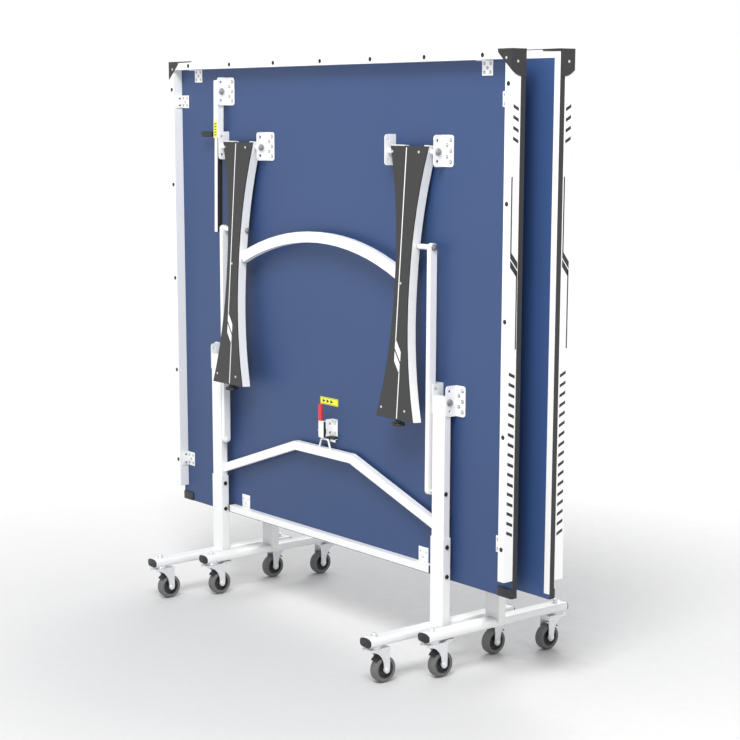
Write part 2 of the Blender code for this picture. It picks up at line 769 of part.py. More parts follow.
def stay_tube():
    """The upper, outer tube of the stay about its pivot, open below, its top cut to clear the board."""
    wide, deep = STAY_WIDE / 2, STAY_DEEP / 2
    low = STAY_TUBE_OVER - STAY_TUBE_LONG
    pin_clear = AXLE_R + STAY_WALL
    shoulder = STAY_TUBE_PEAK - STAY_WALL
    outline = [
        (-deep, low), (deep, low), (deep, STAY_TUBE_HEEL), (3 * STAY_WALL - deep, shoulder),
        (STAY_WALL - deep, STAY_TUBE_PEAK), (-deep, shoulder),
    ]
    shapes = [plate(outline, -wide, wide, "X")]
    cuts = [
        box(
            (STAY_WALL - wide, STAY_WALL - deep, low - wide),
            (wide - STAY_WALL, deep - STAY_WALL, -pin_clear),
        ),
        rod((-STAY_WIDE, 0, 0), (STAY_WIDE, 0, 0), AXLE_R + PIN_PLAY),
        rod((-STAY_WIDE, 0, low + LOCK_UP), (0, 0, low + LOCK_UP), LOCK_R + PIN_PLAY, 10),
    ]
    return shapes, cuts


def stay_bar():
    """The lower, inner bar of the stay, from inside the tube down to the leg's axle."""
    run = (LINK_HIGH - STAY_PIVOT).length
    wide = STAY_WIDE / 2 - STAY_WALL - TOUCH
    deep = STAY_DEEP / 2 - STAY_WALL - TOUCH
    top = STAY_TUBE_OVER - STAY_TUBE_LONG + STAY_BAR_IN
    shapes = [box((-wide, -deep, -run - STAY_BAR_UNDER), (wide, deep, top))]
    hollow = LINK_WALL
    cuts = [
        box((hollow - wide, hollow - deep, STAY_BAR_UNDER - run), (wide - hollow, deep * 2, top + wide))
    ]
    return shapes, cuts


def lock_pin():
    """The stay's spring lock pin with its grip, from the tube's wall out to the left."""
    wall = -STAY_WIDE / 2
    return [
        rod((wall - LOCK_NECK - LOCK_GRIP, 0, 0), (wall - LOCK_NECK, 0, 0), LOCK_GRIP_R, 14),
        rod((wall - LOCK_NECK - LOCK_R, 0, 0), (wall + STAY_WALL - TOUCH, 0, 0), LOCK_R, 10),
    ]


def latch_handle():
    """The storage latch's lever about its pivot: a flat steel body and a round grip."""
    outline = rounded(
        (LATCH_OFFSET - LATCH_WIDE / 2, LATCH_BOTTOM - LATCH_PIVOT_Z),
        (LATCH_OFFSET + LATCH_WIDE / 2, LATCH_TOP - LATCH_PIVOT_Z), 0.002, steps=2,
    )
    grip_low = LATCH_TOP - LATCH_PIVOT_Z - LATCH_GRIP_R / 2
    return [
        plate(outline, -LATCH_DEEP / 2, LATCH_DEEP / 2, "Y"),
        rod((0, 0, grip_low), (0, 0, LATCH_GRIP_TOP - LATCH_PIVOT_Z), LATCH_GRIP_R, 14),
    ]


def build_half(half):
    half.add("tabletop", "playing_board", tabletop())
    half.add("apron_frame", "white_steel", apron_boxes(0, 0), apron_boxes(APRON_WALL, APRON_SIDE))
    half.add("net_bar", "white_steel", *net_bar())
    half.add("stay_bracket", "white_steel", *stay_bracket())
    half.add("carriage_frame", "white_steel", *carriage_frame())
    tilt = (-LEG_TILT, 0, 0)
    half.add("leg_frame", "white_steel", *leg_frame(), location=LEG_PIVOT, angles=tilt)
    for side, sign in (("left", -1), ("right", 1)):
        shift = Vector((sign * LEG_X, 0, 0))
        half.add("top_hinge_" + side, "white_steel", *top_hinge(sign))
        half.add("leg_hinge_" + side, "white_steel", *leg_hinge(sign))
        cover = (leg_cover(), (), LEG_PIVOT + shift, tilt)
        half.add("leg_cover_" + side, "grey_cover", *cover)
        foot_place = LEG_PIVOT + shift + foot_centre() + Vector((0, 0, -2 * TOUCH))
        half.add("levelling_foot_" + side, "black_plastic", foot(), location=foot_place)
        link_place = LINK_LOW + Vector((sign * (LINK_IN + LINK_THICK / 2), 0, 0))
        lean = (link_lean(), 0, 0)
        half.add("link_" + side, "white_steel", *link(), location=link_place, angles=lean)
        half.add("foot_rail_" + side, "white_steel", *rail(sign))
        for end, y, turn in (("outer", CASTER_OUT_Y, 0), ("inner", CASTER_IN_Y, math.pi)):
            name = f"{side}_{end}"
            swivel = Vector((sign * POST_X, y, 0))
            trail = Vector((0, CASTER_TRAIL * math.cos(turn), WHEEL_R))
            half.add("caster_fork_" + name, "zinc_plate", fork(), (), swivel, (0, 0, turn))
            half.add("caster_wheel_" + name, "grey_rubber", wheel(), location=swivel + trail)
    stay_place = STAY_PIVOT + Vector((STAY_X, 0, 0))
    lean = (stay_lean(), 0, 0)
    half.add("stay_tube", "white_steel", *stay_tube(), location=stay_place, angles=lean)
    half.add("stay_bar", "white_steel", *stay_bar(), location=stay_place, angles=lean)
    lock = Vector((0, 0, STAY_TUBE_OVER - STAY_TUBE_LONG + LOCK_UP))
    lock.rotate(Matrix.Rotation(stay_lean(), 4, "X").to_quaternion())
    half.add("stay_lock_pin", "black_plastic", lock_pin(), (), stay_place + lock, lean)
    latch_place = Vector((LATCH_X, LATCH_Y, LATCH_PIVOT_Z))
    half.add("latch_handle", "red_grip", latch_handle(), location=latch_place)


def main():
    clear_scene()
    parts = make_collection(COLLECTION)
    cutters = make_collection(COLLECTION + "_cutters")
    materials = make_materials()
    for name, turn, side in HALVES:
        build_half(Half(name, turn, side, parts, cutters, materials))
    bpy.context.view_layer.update()


main()
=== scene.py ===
"""Finishes and small fittings of a folding table tennis table, stored with its halves nested.

Both halves are the same product. A half's own frame has X across the top, Z up from the floor and
Y = 0 on the playing face, with the underside towards -Y. The rear half is that, turned half a turn.
"""

import json
import math

import bmesh
import bpy
import numpy as np
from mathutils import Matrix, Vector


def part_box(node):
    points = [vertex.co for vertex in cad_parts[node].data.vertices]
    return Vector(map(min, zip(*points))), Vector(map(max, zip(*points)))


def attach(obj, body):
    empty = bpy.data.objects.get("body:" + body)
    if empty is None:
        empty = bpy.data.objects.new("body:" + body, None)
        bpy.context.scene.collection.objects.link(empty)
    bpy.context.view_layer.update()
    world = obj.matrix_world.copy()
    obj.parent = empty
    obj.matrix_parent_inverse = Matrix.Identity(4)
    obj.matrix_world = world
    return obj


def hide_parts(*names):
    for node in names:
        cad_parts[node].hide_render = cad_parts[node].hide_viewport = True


bl_info = {
    "name": "Table Tennis Table Finishes",
    "version": (1, 0, 0),
    "blender": (4, 5, 0),
    "location": "View3D > Sidebar > Table",
    "description": "Paints the table's parts and adds its caps, screws, rivets, labels, wheels and stage",
    "category": "Object",
}

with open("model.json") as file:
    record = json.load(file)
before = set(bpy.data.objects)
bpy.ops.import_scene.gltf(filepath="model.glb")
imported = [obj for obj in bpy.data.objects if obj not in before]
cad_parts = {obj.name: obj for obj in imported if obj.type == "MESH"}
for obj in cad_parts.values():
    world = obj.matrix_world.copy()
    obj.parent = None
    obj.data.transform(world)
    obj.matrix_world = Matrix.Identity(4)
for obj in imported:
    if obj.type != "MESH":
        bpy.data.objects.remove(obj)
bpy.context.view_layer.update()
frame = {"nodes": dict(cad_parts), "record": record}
HALVES = ("front", "rear")
SIDES = (("left", -1), ("right", 1))
CASTERS = [(side, sign, end) for side, sign in SIDES for end in ("outer", "inner")]
PROUD = 0.0002
PAINT = 0.00015
POST_X = 0.516
TOP_PIN_Y = -0.042
LEG_PIN_Y = -0.040
STAY_PIN_Z = 1.517
LINK_PIN_Y = -0.0465
LINK_PIN_Z = 1.1145
LATCH_PIN_Z = 0.568
LEG_TILT = math.radians(3.85)
NEEDLE = 0.0001


def own_box(half, node):
    """A node's two corners in its half's own frame."""
    low, high = (np.array(corner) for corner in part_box(f"{half}_{node}"))
    board_low, board_high = (np.array(corner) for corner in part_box(f"{half}_tabletop"))
    middle = (board_low[0] + board_high[0]) / 2
    if half == "front":
        origin = np.array((middle, board_high[1], 0))
        return low - origin, high - origin
    origin = np.array((middle, board_low[1], 0))
    turn = np.array((-1, -1, 1))
    ends = np.sort(np.stack(((low - origin) * turn, (high - origin) * turn)), axis=0)
    return ends[0], ends[1]


def placed(half, points):
    """Points of a half's own frame, put where that half stands."""
    low, high = (np.array(corner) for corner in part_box(f"{half}_tabletop"))
    middle = (low[0] + high[0]) / 2
    points = np.asarray(points, float)
    if half == "front":
        return points + np.array((middle, high[1], 0))
    return points * np.array((-1, -1, 1)) + np.array((middle, low[1], 0))


TOP_LOW, TOP_HIGH = own_box("front", "tabletop")
WIDE = TOP_HIGH[0]
NET = TOP_LOW[2]
END = TOP_HIGH[2]
BACK = TOP_LOW[1]
APRON_LOW, APRON_HIGH = own_box("front", "apron_frame")
LIP = APRON_LOW[1]
COVER_LOW, COVER_HIGH = own_box("front", "leg_cover_right")
LEG_MIDDLE = (COVER_LOW[0] + COVER_HIGH[0]) / 2


# Surfaces. Each gives its points and its faces, and is closed with its faces outwards.


def skin(rings, closed=True, capped=True):
    """Faces of a grid of points: one row a ring, joined to the next ring, with both ends capped."""
    rings = np.asarray(rings, float)
    rows, count = rings.shape[:2]
    index = np.arange(rows * count).reshape(rows, count)
    near, far = index[:-1], index[1:]
    if closed:
        near_next, far_next = np.roll(near, -1, 1), np.roll(far, -1, 1)
    else:
        near, near_next, far, far_next = near[:, :-1], near[:, 1:], far[:, :-1], far[:, 1:]
    faces = np.stack((near, near_next, far_next, far), axis=-1).reshape(-1, 4).tolist()
    if capped:
        faces += [index[0][::-1].tolist(), index[-1].tolist()]
    return rings.reshape(-1, 3), faces


def lathe(profile, centre, axis="Y", steps=20):
    """A profile of (along, radius) turned about an axis: radius times cosine and sine, at each height."""
    along, radius = np.asarray(profile, float).T
    angle = np.linspace(0, 2 * np.pi, steps, endpoint=False)
    around = radius[:, None] * np.cos(angle), radius[:, None] * np.sin(angle)
    height = np.broadcast_to(along[:, None], around[0].shape)
    order = {"X": (height, *around), "Y": (around[1], height, around[0]), "Z": (*around, height)}[axis]
    return skin(np.stack(order, axis=-1) + np.asarray(centre, float))


def ring_of(profile, centre, axis="X", steps=32):
    """A closed profile of (along, radius) turned about an axis, as a ring with a hole through it."""
    profile = np.asarray(profile, float)
    points, _ = lathe(profile, centre, axis, steps)
    rows = len(profile)
    index = np.arange(rows * steps).reshape(rows, steps)
    far = np.roll(index, -1, 0)
    faces = np.stack((index, np.roll(index, -1, 1), np.roll(far, -1, 1), far), axis=-1)
    return points, faces.reshape(-1, 4).tolist()


def block(low, high, radius, steps=3):
    """A box with round edges: the corner of a smaller box, plus the radius along each direction of a
    globe whose eight eighths are drawn apart."""
    low, high = np.asarray(low, float), np.asarray(high, float)
    half = (high - low) / 2
    quarter = np.linspace(0, np.pi / 2, steps + 1)
    around = np.concatenate([quarter + turn * np.pi / 2 for turn in range(4)])
    sign_u = np.repeat([1, -1, -1, 1], steps + 1)
    sign_v = np.repeat([1, 1, -1, -1], steps + 1)
    rise = np.concatenate([quarter - np.pi / 2, quarter])
    sign_w = np.repeat([-1, 1], steps + 1)
    inner = half - radius
    u = sign_u * inner[0] + radius * np.cos(rise)[:, None] * np.cos(around)
    v = sign_v * inner[1] + radius * np.cos(rise)[:, None] * np.sin(around)
    w = np.broadcast_to((sign_w * inner[2] + radius * np.sin(rise))[:, None], u.shape)
    return skin(np.stack((u, v, w), axis=-1) + (low + high) / 2)


def between(first, second, thick):
    """A plate ruled between two lines of points, with a thickness along one direction."""
    first, second = np.asarray(first, float), np.asarray(second, float)
    thick = np.asarray(thick, float)
    section = np.stack((first, second, second + thick, first + thick), axis=1)
    return skin(section)


def strip(path, width, thick):
    """A bent strip: a line of points carried half its width either way, and its thickness inwards."""
    path, width, thick = (np.asarray(value, float) for value in (path, width, thick))
    return between(path - width / 2, path + width / 2, thick)


def joined(name, body, shapes, finishes, slot, smooth=True, bevel=0.0):
    """One piece from (points, faces, finish number) shapes, riding on a body."""
    points, faces, numbers, start = [], [], [], 0
    for shape_points, shape_faces, number in shapes:
        points.append(shape_points)
        faces += [[corner + start for corner in face] for face in shape_faces]
        numbers += [number] * len(shape_faces)
        start += len(shape_points)
    mesh = bpy.data.meshes.new(name)
    mesh.from_pydata(np.concatenate(points).tolist(), [], faces)
    mesh.polygons.foreach_set("material_index", np.array(numbers, np.int32))
    for finish in finishes:
        mesh.materials.append(finish)
    bm = bmesh.new()
    bm.from_mesh(mesh)
    bmesh.ops.remove_doubles(bm, verts=bm.verts, dist=0.000002)
    bmesh.ops.recalc_face_normals(bm, faces=bm.faces)
    bm.to_mesh(mesh)
    bm.free()
    if smooth:
        mesh.shade_smooth()
        mesh.set_sharp_from_angle(angle=math.radians(40))
    piece = bpy.data.objects.new(name, mesh)
    bpy.context.scene.collection.objects.link(piece)
    if bevel:
        modifier = piece.modifiers.new("edge", "BEVEL")
        modifier.width = bevel
        modifier.segments = 2
        modifier.limit_method = "ANGLE"
    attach(piece, body)
    return piece


def for_half(half, shapes):
    """Shapes of the own frame, put where the half stands."""
    return [(placed(half, points), faces, number) for (points, faces), number in shapes]


def fitting(half, name, body, shapes, finishes, slot, **ways):
    """One piece of a half: its shapes joined, with its finishes by name, riding on the half's body."""
    paints = [finish(key) for key in finishes]
    return joined(f"{half}_{name}", f"{half}_{body}", for_half(half, shapes), paints, slot, **ways)


def shifted(line, x=0, y=0, z=0):
    """A line of points moved by a step, or by one step a point."""
    return np.asarray(line, float) + np.stack(np.broadcast_arrays(x, y, z), axis=-1)


def mirrored(profile):
    """A profile of (along, radius) followed by its mirror image."""
    return profile + [(-along, radius) for along, radius in reversed(profile)]


def disc(centre, radius, height, axis="Y", way=-1, steps=20):
    """A flat disc that stands off a face along an axis."""
    rim = way * (height + NEEDLE)
    return lathe([(0, NEEDLE), (0, radius), (way * height, radius), (rim, NEEDLE)], centre, axis, steps)


def screw_head(centre, radius, height, axis="Y", way=-1, steps=16):
    """A pan head with a small socket, standing off a face along an axis."""
    profile = [
        (0, radius * 0.2), (0, radius), (0.45 * height, radius), (0.8 * height, 0.86 * radius),
        (height, 0.6 * radius), (height, 0.36 * radius), (0.55 * height, 0.3 * radius),
        (0.55 * height, radius * 0.02),
    ]
    profile = [(way * along, around) for along, around in profile]
    return lathe(profile, centre, axis, steps)


def dome(centre, radius, height, axis="Y", way=-1, steps=16):
    """A rivet's dome: height times sine, radius times cosine, over a quarter turn."""
    angle = np.linspace(0, np.pi / 2 * 0.97, 5)
    profile = [(0, radius * 0.1)]
    profile += np.stack((way * height * np.sin(angle), radius * np.cos(angle)), axis=-1).tolist()
    return lathe(profile, centre, axis, steps)


def domed_nut(centre, radius, height, steps=18):
    """A washer with a domed nut on it, upright."""
    profile = [
        (0, radius * 0.1), (0, radius), (0.12 * height, radius), (0.14 * height, 0.74 * radius),
        (0.55 * height, 0.74 * radius), (0.8 * height, 0.6 * radius), (0.95 * height, 0.34 * radius),
        (height, 0.02 * radius),
    ]
    return lathe(profile, centre, "Z", steps)


# Materials. Patterns read Object coordinates, which are metres in the table's frame.


class Paint:
    """A material with short calls for its nodes."""

    def __init__(self, name):
        self.material = bpy.data.materials.new(name)
        self.material.use_nodes = True
        self.nodes = self.material.node_tree.nodes
        self.links = self.material.node_tree.links
        self.shader = self.nodes["Principled BSDF"]
        self.place = self.nodes.new("ShaderNodeTexCoord").outputs["Object"]

    def set(self, **values):
        for key, value in values.items():
            self.shader.inputs[key.replace("_", " ")].default_value = value

    def link(self, source, target):
        self.links.new(source, target)

    def math(self, operation, first, second=0.0):
        node = self.nodes.new("ShaderNodeMath")
        node.operation = operation
        for socket, value in zip(node.inputs, (first, second)):
            if isinstance(value, (int, float)):
                socket.default_value = value
            else:
                self.link(value, socket)
        return node.outputs[0]

    def axes(self, half=None):
        """X, Y and Z of the half's own frame, or of the table's."""
        source = self.place
        if half:
            node = self.nodes.new("ShaderNodeMapping")
            origin = placed(half, (0, 0, 0))
            turn = 0 if half == "front" else math.pi
            sign = -1 if half == "front" else 1
            node.inputs["Rotation"].default_value = (0, 0, turn)
            node.inputs["Location"].default_value = (sign * origin[0], sign * origin[1], 0)
            self.link(source, node.inputs["Vector"])
            source = node.outputs["Vector"]
        split = self.nodes.new("ShaderNodeSeparateXYZ")
        self.link(source, split.inputs[0])
        return split.outputs

    def mix(self, amount, first, second):
        node = self.nodes.new("ShaderNodeMix")
        node.data_type = "RGBA"
        sockets = [socket for socket in node.inputs if socket.type == "RGBA"]
        self.link(amount, node.inputs["Factor"])
        for socket, value in zip(sockets, (first, second)):
            if hasattr(value, "is_output"):
                self.link(value, socket)
            else:
                socket.default_value = value
        return [socket for socket in node.outputs if socket.type == "RGBA"][0]

    def noise(self, scale, detail=3.0, stretch=None):
        source = self.place
        if stretch:
            node = self.nodes.new("ShaderNodeMapping")
            node.inputs["Scale"].default_value = stretch
            self.link(source, node.inputs["Vector"])
            source = node.outputs["Vector"]
        node = self.nodes.new("ShaderNodeTexNoise")
        node.inputs["Scale"].default_value = scale
        node.inputs["Detail"].default_value = detail
        self.link(source, node.inputs["Vector"])
        return node.outputs["Fac"]

    def remap(self, value, low, high, start=0.3, stop=0.7):
        node = self.nodes.new("ShaderNodeMapRange")
        self.link(value, node.inputs["Value"])
        for key, number in (("From Min", start), ("From Max", stop), ("To Min", low), ("To Max", high)):
            node.inputs[key].default_value = number
        return node.outputs["Result"]

    def bump(self, height, strength, distance, round_edge=0.0):
        node = self.nodes.new("ShaderNodeBump")
        node.inputs["Strength"].default_value = strength
        node.inputs["Distance"].default_value = distance
        self.link(height, node.inputs["Height"])
        if round_edge:
            bevel = self.nodes.new("ShaderNodeBevel")
            bevel.samples = 4
            bevel.inputs["Radius"].default_value = round_edge
            self.link(bevel.outputs["Normal"], node.inputs["Normal"])
        self.link(node.outputs["Normal"], self.shader.inputs["Normal"])


def shaded(colour, factor):
    return tuple(min(1, channel * factor) for channel in colour[:3]) + (1,)


def speckled(name, colour, grain, depth, rough, wear=0.08, metallic=0.0, coat=0.0, edge=0.0005):
    """A finish with a fine grain, slow variation of its colour and an uneven gloss."""
    paint = Paint(name)
    fine = paint.noise(grain, 4)
    slow = paint.noise(7, 2)
    tone = paint.remap(slow, 0, 1)
    base = paint.mix(tone, shaded(colour, 1 - wear), shaded(colour, 1 + wear))
    paint.link(base, paint.shader.inputs["Base Color"])
    paint.link(paint.remap(fine, rough * 0.85, rough * 1.2), paint.shader.inputs["Roughness"])
    paint.set(Metallic=metallic)
    paint.shader.inputs["Coat Weight"].default_value = coat
    paint.bump(fine, 0.35, depth, edge)
    return paint


FINISHES = {}


def finish(name):
    """A finish by its name, made once from the colours of the sidebar."""
    if name in FINISHES:
        return FINISHES[name]
    colours = bpy.context.scene.table_colours
    gloss = bpy.context.scene.table_gloss
    if name == "powder_coat":
        paint = speckled(name, colours.steel, 900, 0.00002, gloss.steel, wear=0.015, coat=0.15, edge=0.0015)
    elif name == "black_plastic":
        paint = speckled(name, colours.plastic, 1400, 0.00004, gloss.plastic, wear=0.12)
    elif name == "black_paint":
        paint = speckled(name, colours.stripe, 700, 0.00001, 0.45, wear=0.1, edge=0)
    elif name == "white_paint":
        paint = speckled(name, colours.line, 700, 0.00001, 0.45, wear=0.02, edge=0)
    elif name == "cover_sheet":
        paint = cover_paint(colours, gloss)
    elif name == "zinc":
        paint = speckled(name, colours.zinc, 350, 0.00002, gloss.zinc, wear=0.06, metallic=0.55)
    elif name == "tyre":
        paint = speckled(name, colours.tyre, 1100, 0.00006, 0.62, wear=0.1)
    elif name == "hub":
        paint = speckled(name, colours.hub, 900, 0.00004, 0.42, wear=0.1)
    elif name == "label":
        paint = speckled(name, colours.label, 500, 0.00001, 0.35, wear=0.03, edge=0)
    elif name == "screw_white":
        paint = speckled(name, colours.screw, 600, 0.00002, 0.32, wear=0.05, metallic=0.5)
    elif name == "screw_black":
        paint = speckled(name, colours.stripe, 600, 0.00002, 0.3, wear=0.1, metallic=0.3)
    elif name == "bolt":
        paint = speckled(name, colours.bolt, 500, 0.00003, 0.35, wear=0.2, metallic=0.85)
    elif name == "grip":
        paint = speckled(name, colours.grip, 500, 0.00003, 0.3, wear=0.05, coat=0.4)
    else:
        raise ValueError("there is no finish named " + name)
    FINISHES[name] = paint.material
    return paint.material


def cover_paint(colours, gloss):
    """The covers' dark sheet: a fine grain with brushing along the leg."""
    paint = Paint("cover_sheet")
    brushed = paint.noise(60, 3, (14, 14, 1))
    fine = paint.noise(1300, 2)
    tone = paint.remap(brushed, 0, 1)
    base = paint.mix(tone, shaded(colours.cover, 0.86), shaded(colours.cover, 1.16))
    paint.link(base, paint.shader.inputs["Base Color"])
    paint.link(paint.remap(brushed, gloss.cover * 0.85, gloss.cover * 1.2), paint.shader.inputs["Roughness"])
    paint.bump(fine, 0.3, 0.00004, 0.0006)
    return paint


def board_paint(half, colours, gloss):
    """The board: blue on both faces, white lines on the playing face, and a black band on its edge."""
    sizes = bpy.context.scene.table_sizes
    paint = Paint(half + "_board")
    x, y, z = paint.axes(half)
    across = paint.math("ABSOLUTE", x)
    band = paint.math("GREATER_THAN", across, WIDE - PAINT)
    band = paint.math("MAXIMUM", band, paint.math("GREATER_THAN", z, END - PAINT))
    band = paint.math("MAXIMUM", band, paint.math("LESS_THAN", z, NET + PAINT))
    side = paint.math("GREATER_THAN", across, WIDE - sizes.line)
    side = paint.math("MULTIPLY", side, paint.math("GREATER_THAN", z, NET + sizes.line_stop))
    end = paint.math("GREATER_THAN", z, END - sizes.line)
    middle = paint.math("LESS_THAN", across, sizes.middle_line / 2)
    line = paint.math("MAXIMUM", paint.math("MAXIMUM", side, end), middle)
    upper = paint.math("GREATER_THAN", y, BACK / 2)
    line = paint.math("MULTIPLY", line, upper)
    slow = paint.noise(3, 3)
    fine = paint.noise(1500, 3)
    tone = paint.remap(slow, 0, 1)
    under = paint.mix(tone, shaded(colours.under, 0.97), shaded(colours.under, 1.03))
    play = paint.mix(tone, shaded(colours.play, 0.97), shaded(colours.play, 1.03))
    base = paint.mix(upper, under, play)
    base = paint.mix(line, base, tuple(colours.line))
    base = paint.mix(band, base, tuple(colours.band))
    paint.link(base, paint.shader.inputs["Base Color"])
    rough = paint.remap(fine, gloss.board * 0.9, gloss.board * 1.12)
    paint.link(rough, paint.shader.inputs["Roughness"])
    paint.bump(fine, 0.25, 0.00003, 0.0005)
    return paint.material


def stay_bar_paint(half, colours):
    """The stay's inner bar: white steel with a dark strip on its face towards the leg."""
    _, high = own_box(half, "stay_bar")
    paint = Paint(half + "_stay_bar")
    x, _, _ = paint.axes(half)
    # Dark grey on the bar's face towards the leg, over its whole length.
    strip = paint.math("GREATER_THAN", x, float(high[0]) - 0.0006)
    fine = paint.noise(900, 2)
    base = paint.mix(strip, tuple(colours.steel), tuple(colours.cover))
    paint.link(base, paint.shader.inputs["Base Color"])
    paint.link(paint.remap(fine, 0.3, 0.42), paint.shader.inputs["Roughness"])
    paint.bump(fine, 0.3, 0.00002, 0.0010)
    return paint.material


def handle_paint(half, colours):
    """The latch's lever: white steel with a dark inner side below, red grip above."""
    _, high = own_box(half, "latch_handle")
    paint = Paint(half + "_handle")
    x, _, z = paint.axes(half)
    grip = paint.math("GREATER_THAN", z, bpy.context.scene.table_sizes.grip_start)
    inner = paint.math("GREATER_THAN", x, float(high[0]) - 0.0004)
    fine = paint.noise(900, 2)
    base = paint.mix(inner, tuple(colours.steel), tuple(colours.cover))
    base = paint.mix(grip, base, tuple(colours.grip))
    paint.link(base, paint.shader.inputs["Base Color"])
    paint.link(paint.remap(fine, 0.28, 0.4), paint.shader.inputs["Roughness"])
    paint.bump(fine, 0.3, 0.00002, 0.0015)
    return paint.material


# Settings that a user would change.


def colour(name, description, default):
    return bpy.props.FloatVectorProperty(
        name=name, description=description, default=default, size=4, min=0, max=1, subtype="COLOR"
    )


def length(name, description, default):
    return bpy.props.FloatProperty(
        name=name, description=description, default=default, min=0, unit="LENGTH", subtype="DISTANCE"
    )


def factor(name, description, default):
    return bpy.props.FloatProperty(
        name=name, description=description, default=default, min=0, max=1, subtype="FACTOR"
    )


class TABLE_PG_colours(bpy.types.PropertyGroup):
    """Colours of the finishes."""

    under: colour("Underside", "Blue of the top's underside", (0.0275, 0.0625, 0.172, 1))
    play: colour("Playing face", "Blue of the playing face", (0.031, 0.073, 0.200, 1))
    line: colour("Lines", "White of the lines and pinstripes", (0.86, 0.86, 0.85, 1))
    band: colour("Edge band", "Black of the board's edge", (0.022, 0.022, 0.024, 1))
    steel: colour("Steel", "White powder coat of the steel", (0.86, 0.865, 0.865, 1))
    cover: colour("Leg covers", "Dark grey of the leg covers", (0.025, 0.025, 0.0262, 1))
    plastic: colour("Black plastic", "Caps, plugs and pads", (0.022, 0.022, 0.024, 1))
    stripe: colour("Black paint", "Stripes, bars and black screws", (0.02, 0.02, 0.021, 1))
    zinc: colour("Zinc", "Caster forks, nuts and pedals", (0.82, 0.83, 0.85, 1))
    tyre: colour("Tyres", "Grey rubber of the wheels", (0.145, 0.146, 0.148, 1))
    hub: colour("Hubs", "Black hubs of the wheels", (0.018, 0.018, 0.019, 1))
    label: colour("Labels", "Yellow of the labels", (0.83, 0.83, 0.045, 1))
    screw: colour("White screws", "Rivets and plated screws", (0.62, 0.63, 0.65, 1))
    bolt: colour("Bolts", "Dark plating of the hinge bolts", (0.40, 0.40, 0.41, 1))
    grip: colour("Grips", "Red of the latch grips", (0.75, 0.025, 0.035, 1))


class TABLE_PG_gloss(bpy.types.PropertyGroup):
    """Roughness of the finishes."""

    board: factor("Board", "Roughness of the board's paint", 0.5)
    steel: factor("Steel", "Roughness of the powder coat", 0.34)
    cover: factor("Leg covers", "Roughness of the leg covers", 0.42)
    plastic: factor("Plastic", "Roughness of the black plastic", 0.42)
    zinc: factor("Zinc", "Roughness of the plated steel", 0.3)


class TABLE_PG_sizes(bpy.types.PropertyGroup):
    """Sizes of the fittings."""

    line: length("Line", "Width of the side and end lines", 0.020)
    line_stop: length("Line stop", "Where the side lines stop over the net edge", 0.013)
    middle_line: length("Centre line", "Width of the centre line", 0.003)
    cap_wall: length("Cap wall", "Wall of the corner caps", 0.0014)
    cap_reach: length("Cap reach", "Length of the caps along the end line", 0.0495)
    cap_tongue: length("Cap tongue", "Length of the caps' tongues along the end line", 0.122)
    screw: length("Apron screw", "Radius of the apron's screws", 0.0058)
    rivet: length("Rivet", "Radius of the brackets' rivets", 0.0048)
    cover_screw: length("Cover screw", "Radius of the covers' screws", 0.0036)
    bolt: length("Hinge bolt", "Radius of the hinges' bolt heads over their corners", 0.0086)
    plug: length("Plug", "How far the end plugs stand out", 0.0030)
    pinstripe: length("Pinstripe", "Width of the covers' pinstripe", 0.0034)
    apron_stripe: length("Apron stripe", "Width of the apron's stripe", 0.0040)
    grip_start: length("Grip start", "Height at which the latch's red grip starts", 0.5965)
    pedal: length("Brake pedal", "Length of the brake pedals", 0.030)


class TABLE_PG_stage(bpy.types.PropertyGroup):
    """Camera, light and floor."""

    place: bpy.props.FloatVectorProperty(
        name="Camera place", description="Where the camera stands", default=(3.8636, -3.0339, 1.4556),
        unit="LENGTH", subtype="TRANSLATION",
    )
    turn: bpy.props.FloatProperty(
        name="Camera turn", description="Camera's turn about the upright", default=0.9031,
        unit="ROTATION", subtype="ANGLE",
    )
    dip: bpy.props.FloatProperty(
        name="Camera dip", description="How far the camera looks down", default=0.1829,
        unit="ROTATION", subtype="ANGLE",
    )
    lens: bpy.props.FloatProperty(
        name="Lens", description="Focal length of the camera", default=85.17, unit="CAMERA"
    )
    floor: colour("Floor", "Colour of the floor", (0.62, 0.62, 0.62, 1))
    sky: bpy.props.FloatProperty(name="Fill light", description="Strength of the even light", default=0.78)
    key: bpy.props.FloatProperty(
        name="Key light", description="Power of the large overhead light", default=250, unit="POWER"
    )


class TableOperator(bpy.types.Operator):
    """What every step of the table shares."""

    bl_options = {"REGISTER", "UNDO"}

    def execute(self, context):
        for half in HALVES:
            self.build(half, context.scene.table_sizes)
        return {"FINISHED"}


class TABLE_OT_boards(TableOperator):
    """Paint the boards, with their lines and edge bands"""

    bl_idname = "table.boards"
    bl_label = "Paint boards"

    def build(self, half, sizes):
        scene = bpy.context.scene
        board = frame["nodes"][half + "_tabletop"]
        board.data.materials.clear()
        board.data.materials.append(board_paint(half, scene.table_colours, scene.table_gloss))


class TABLE_OT_parts(TableOperator):
    """Give each steel, plastic and rubber part its finish"""

    bl_idname = "table.parts"
    bl_label = "Finish parts"

    def build(self, half, sizes):
        plain = {"white_steel": "powder_coat", "grey_cover": "cover_sheet", "black_plastic": "black_plastic",
                 "zinc_plate": "zinc", "grey_rubber": "tyre"}
        for entry in frame["record"]["subparts"]:
            name, material = entry["node"], entry["material_slot"]
            if name.startswith(half) and material in plain:
                mesh = frame["nodes"][name].data
                mesh.materials.clear()
                mesh.materials.append(finish(plain[material]))
        bar = frame["nodes"][half + "_stay_bar"].data
        bar.materials.clear()
        bar.materials.append(stay_bar_paint(half, bpy.context.scene.table_colours))
        grip = frame["nodes"][half + "_stay_lock_pin"].data
        grip.materials.clear()
        grip.materials.append(finish("hub"))
        handle = frame["nodes"][half + "_latch_handle"].data
        handle.materials.clear()
        handle.materials.append(handle_paint(half, bpy.context.scene.table_colours))


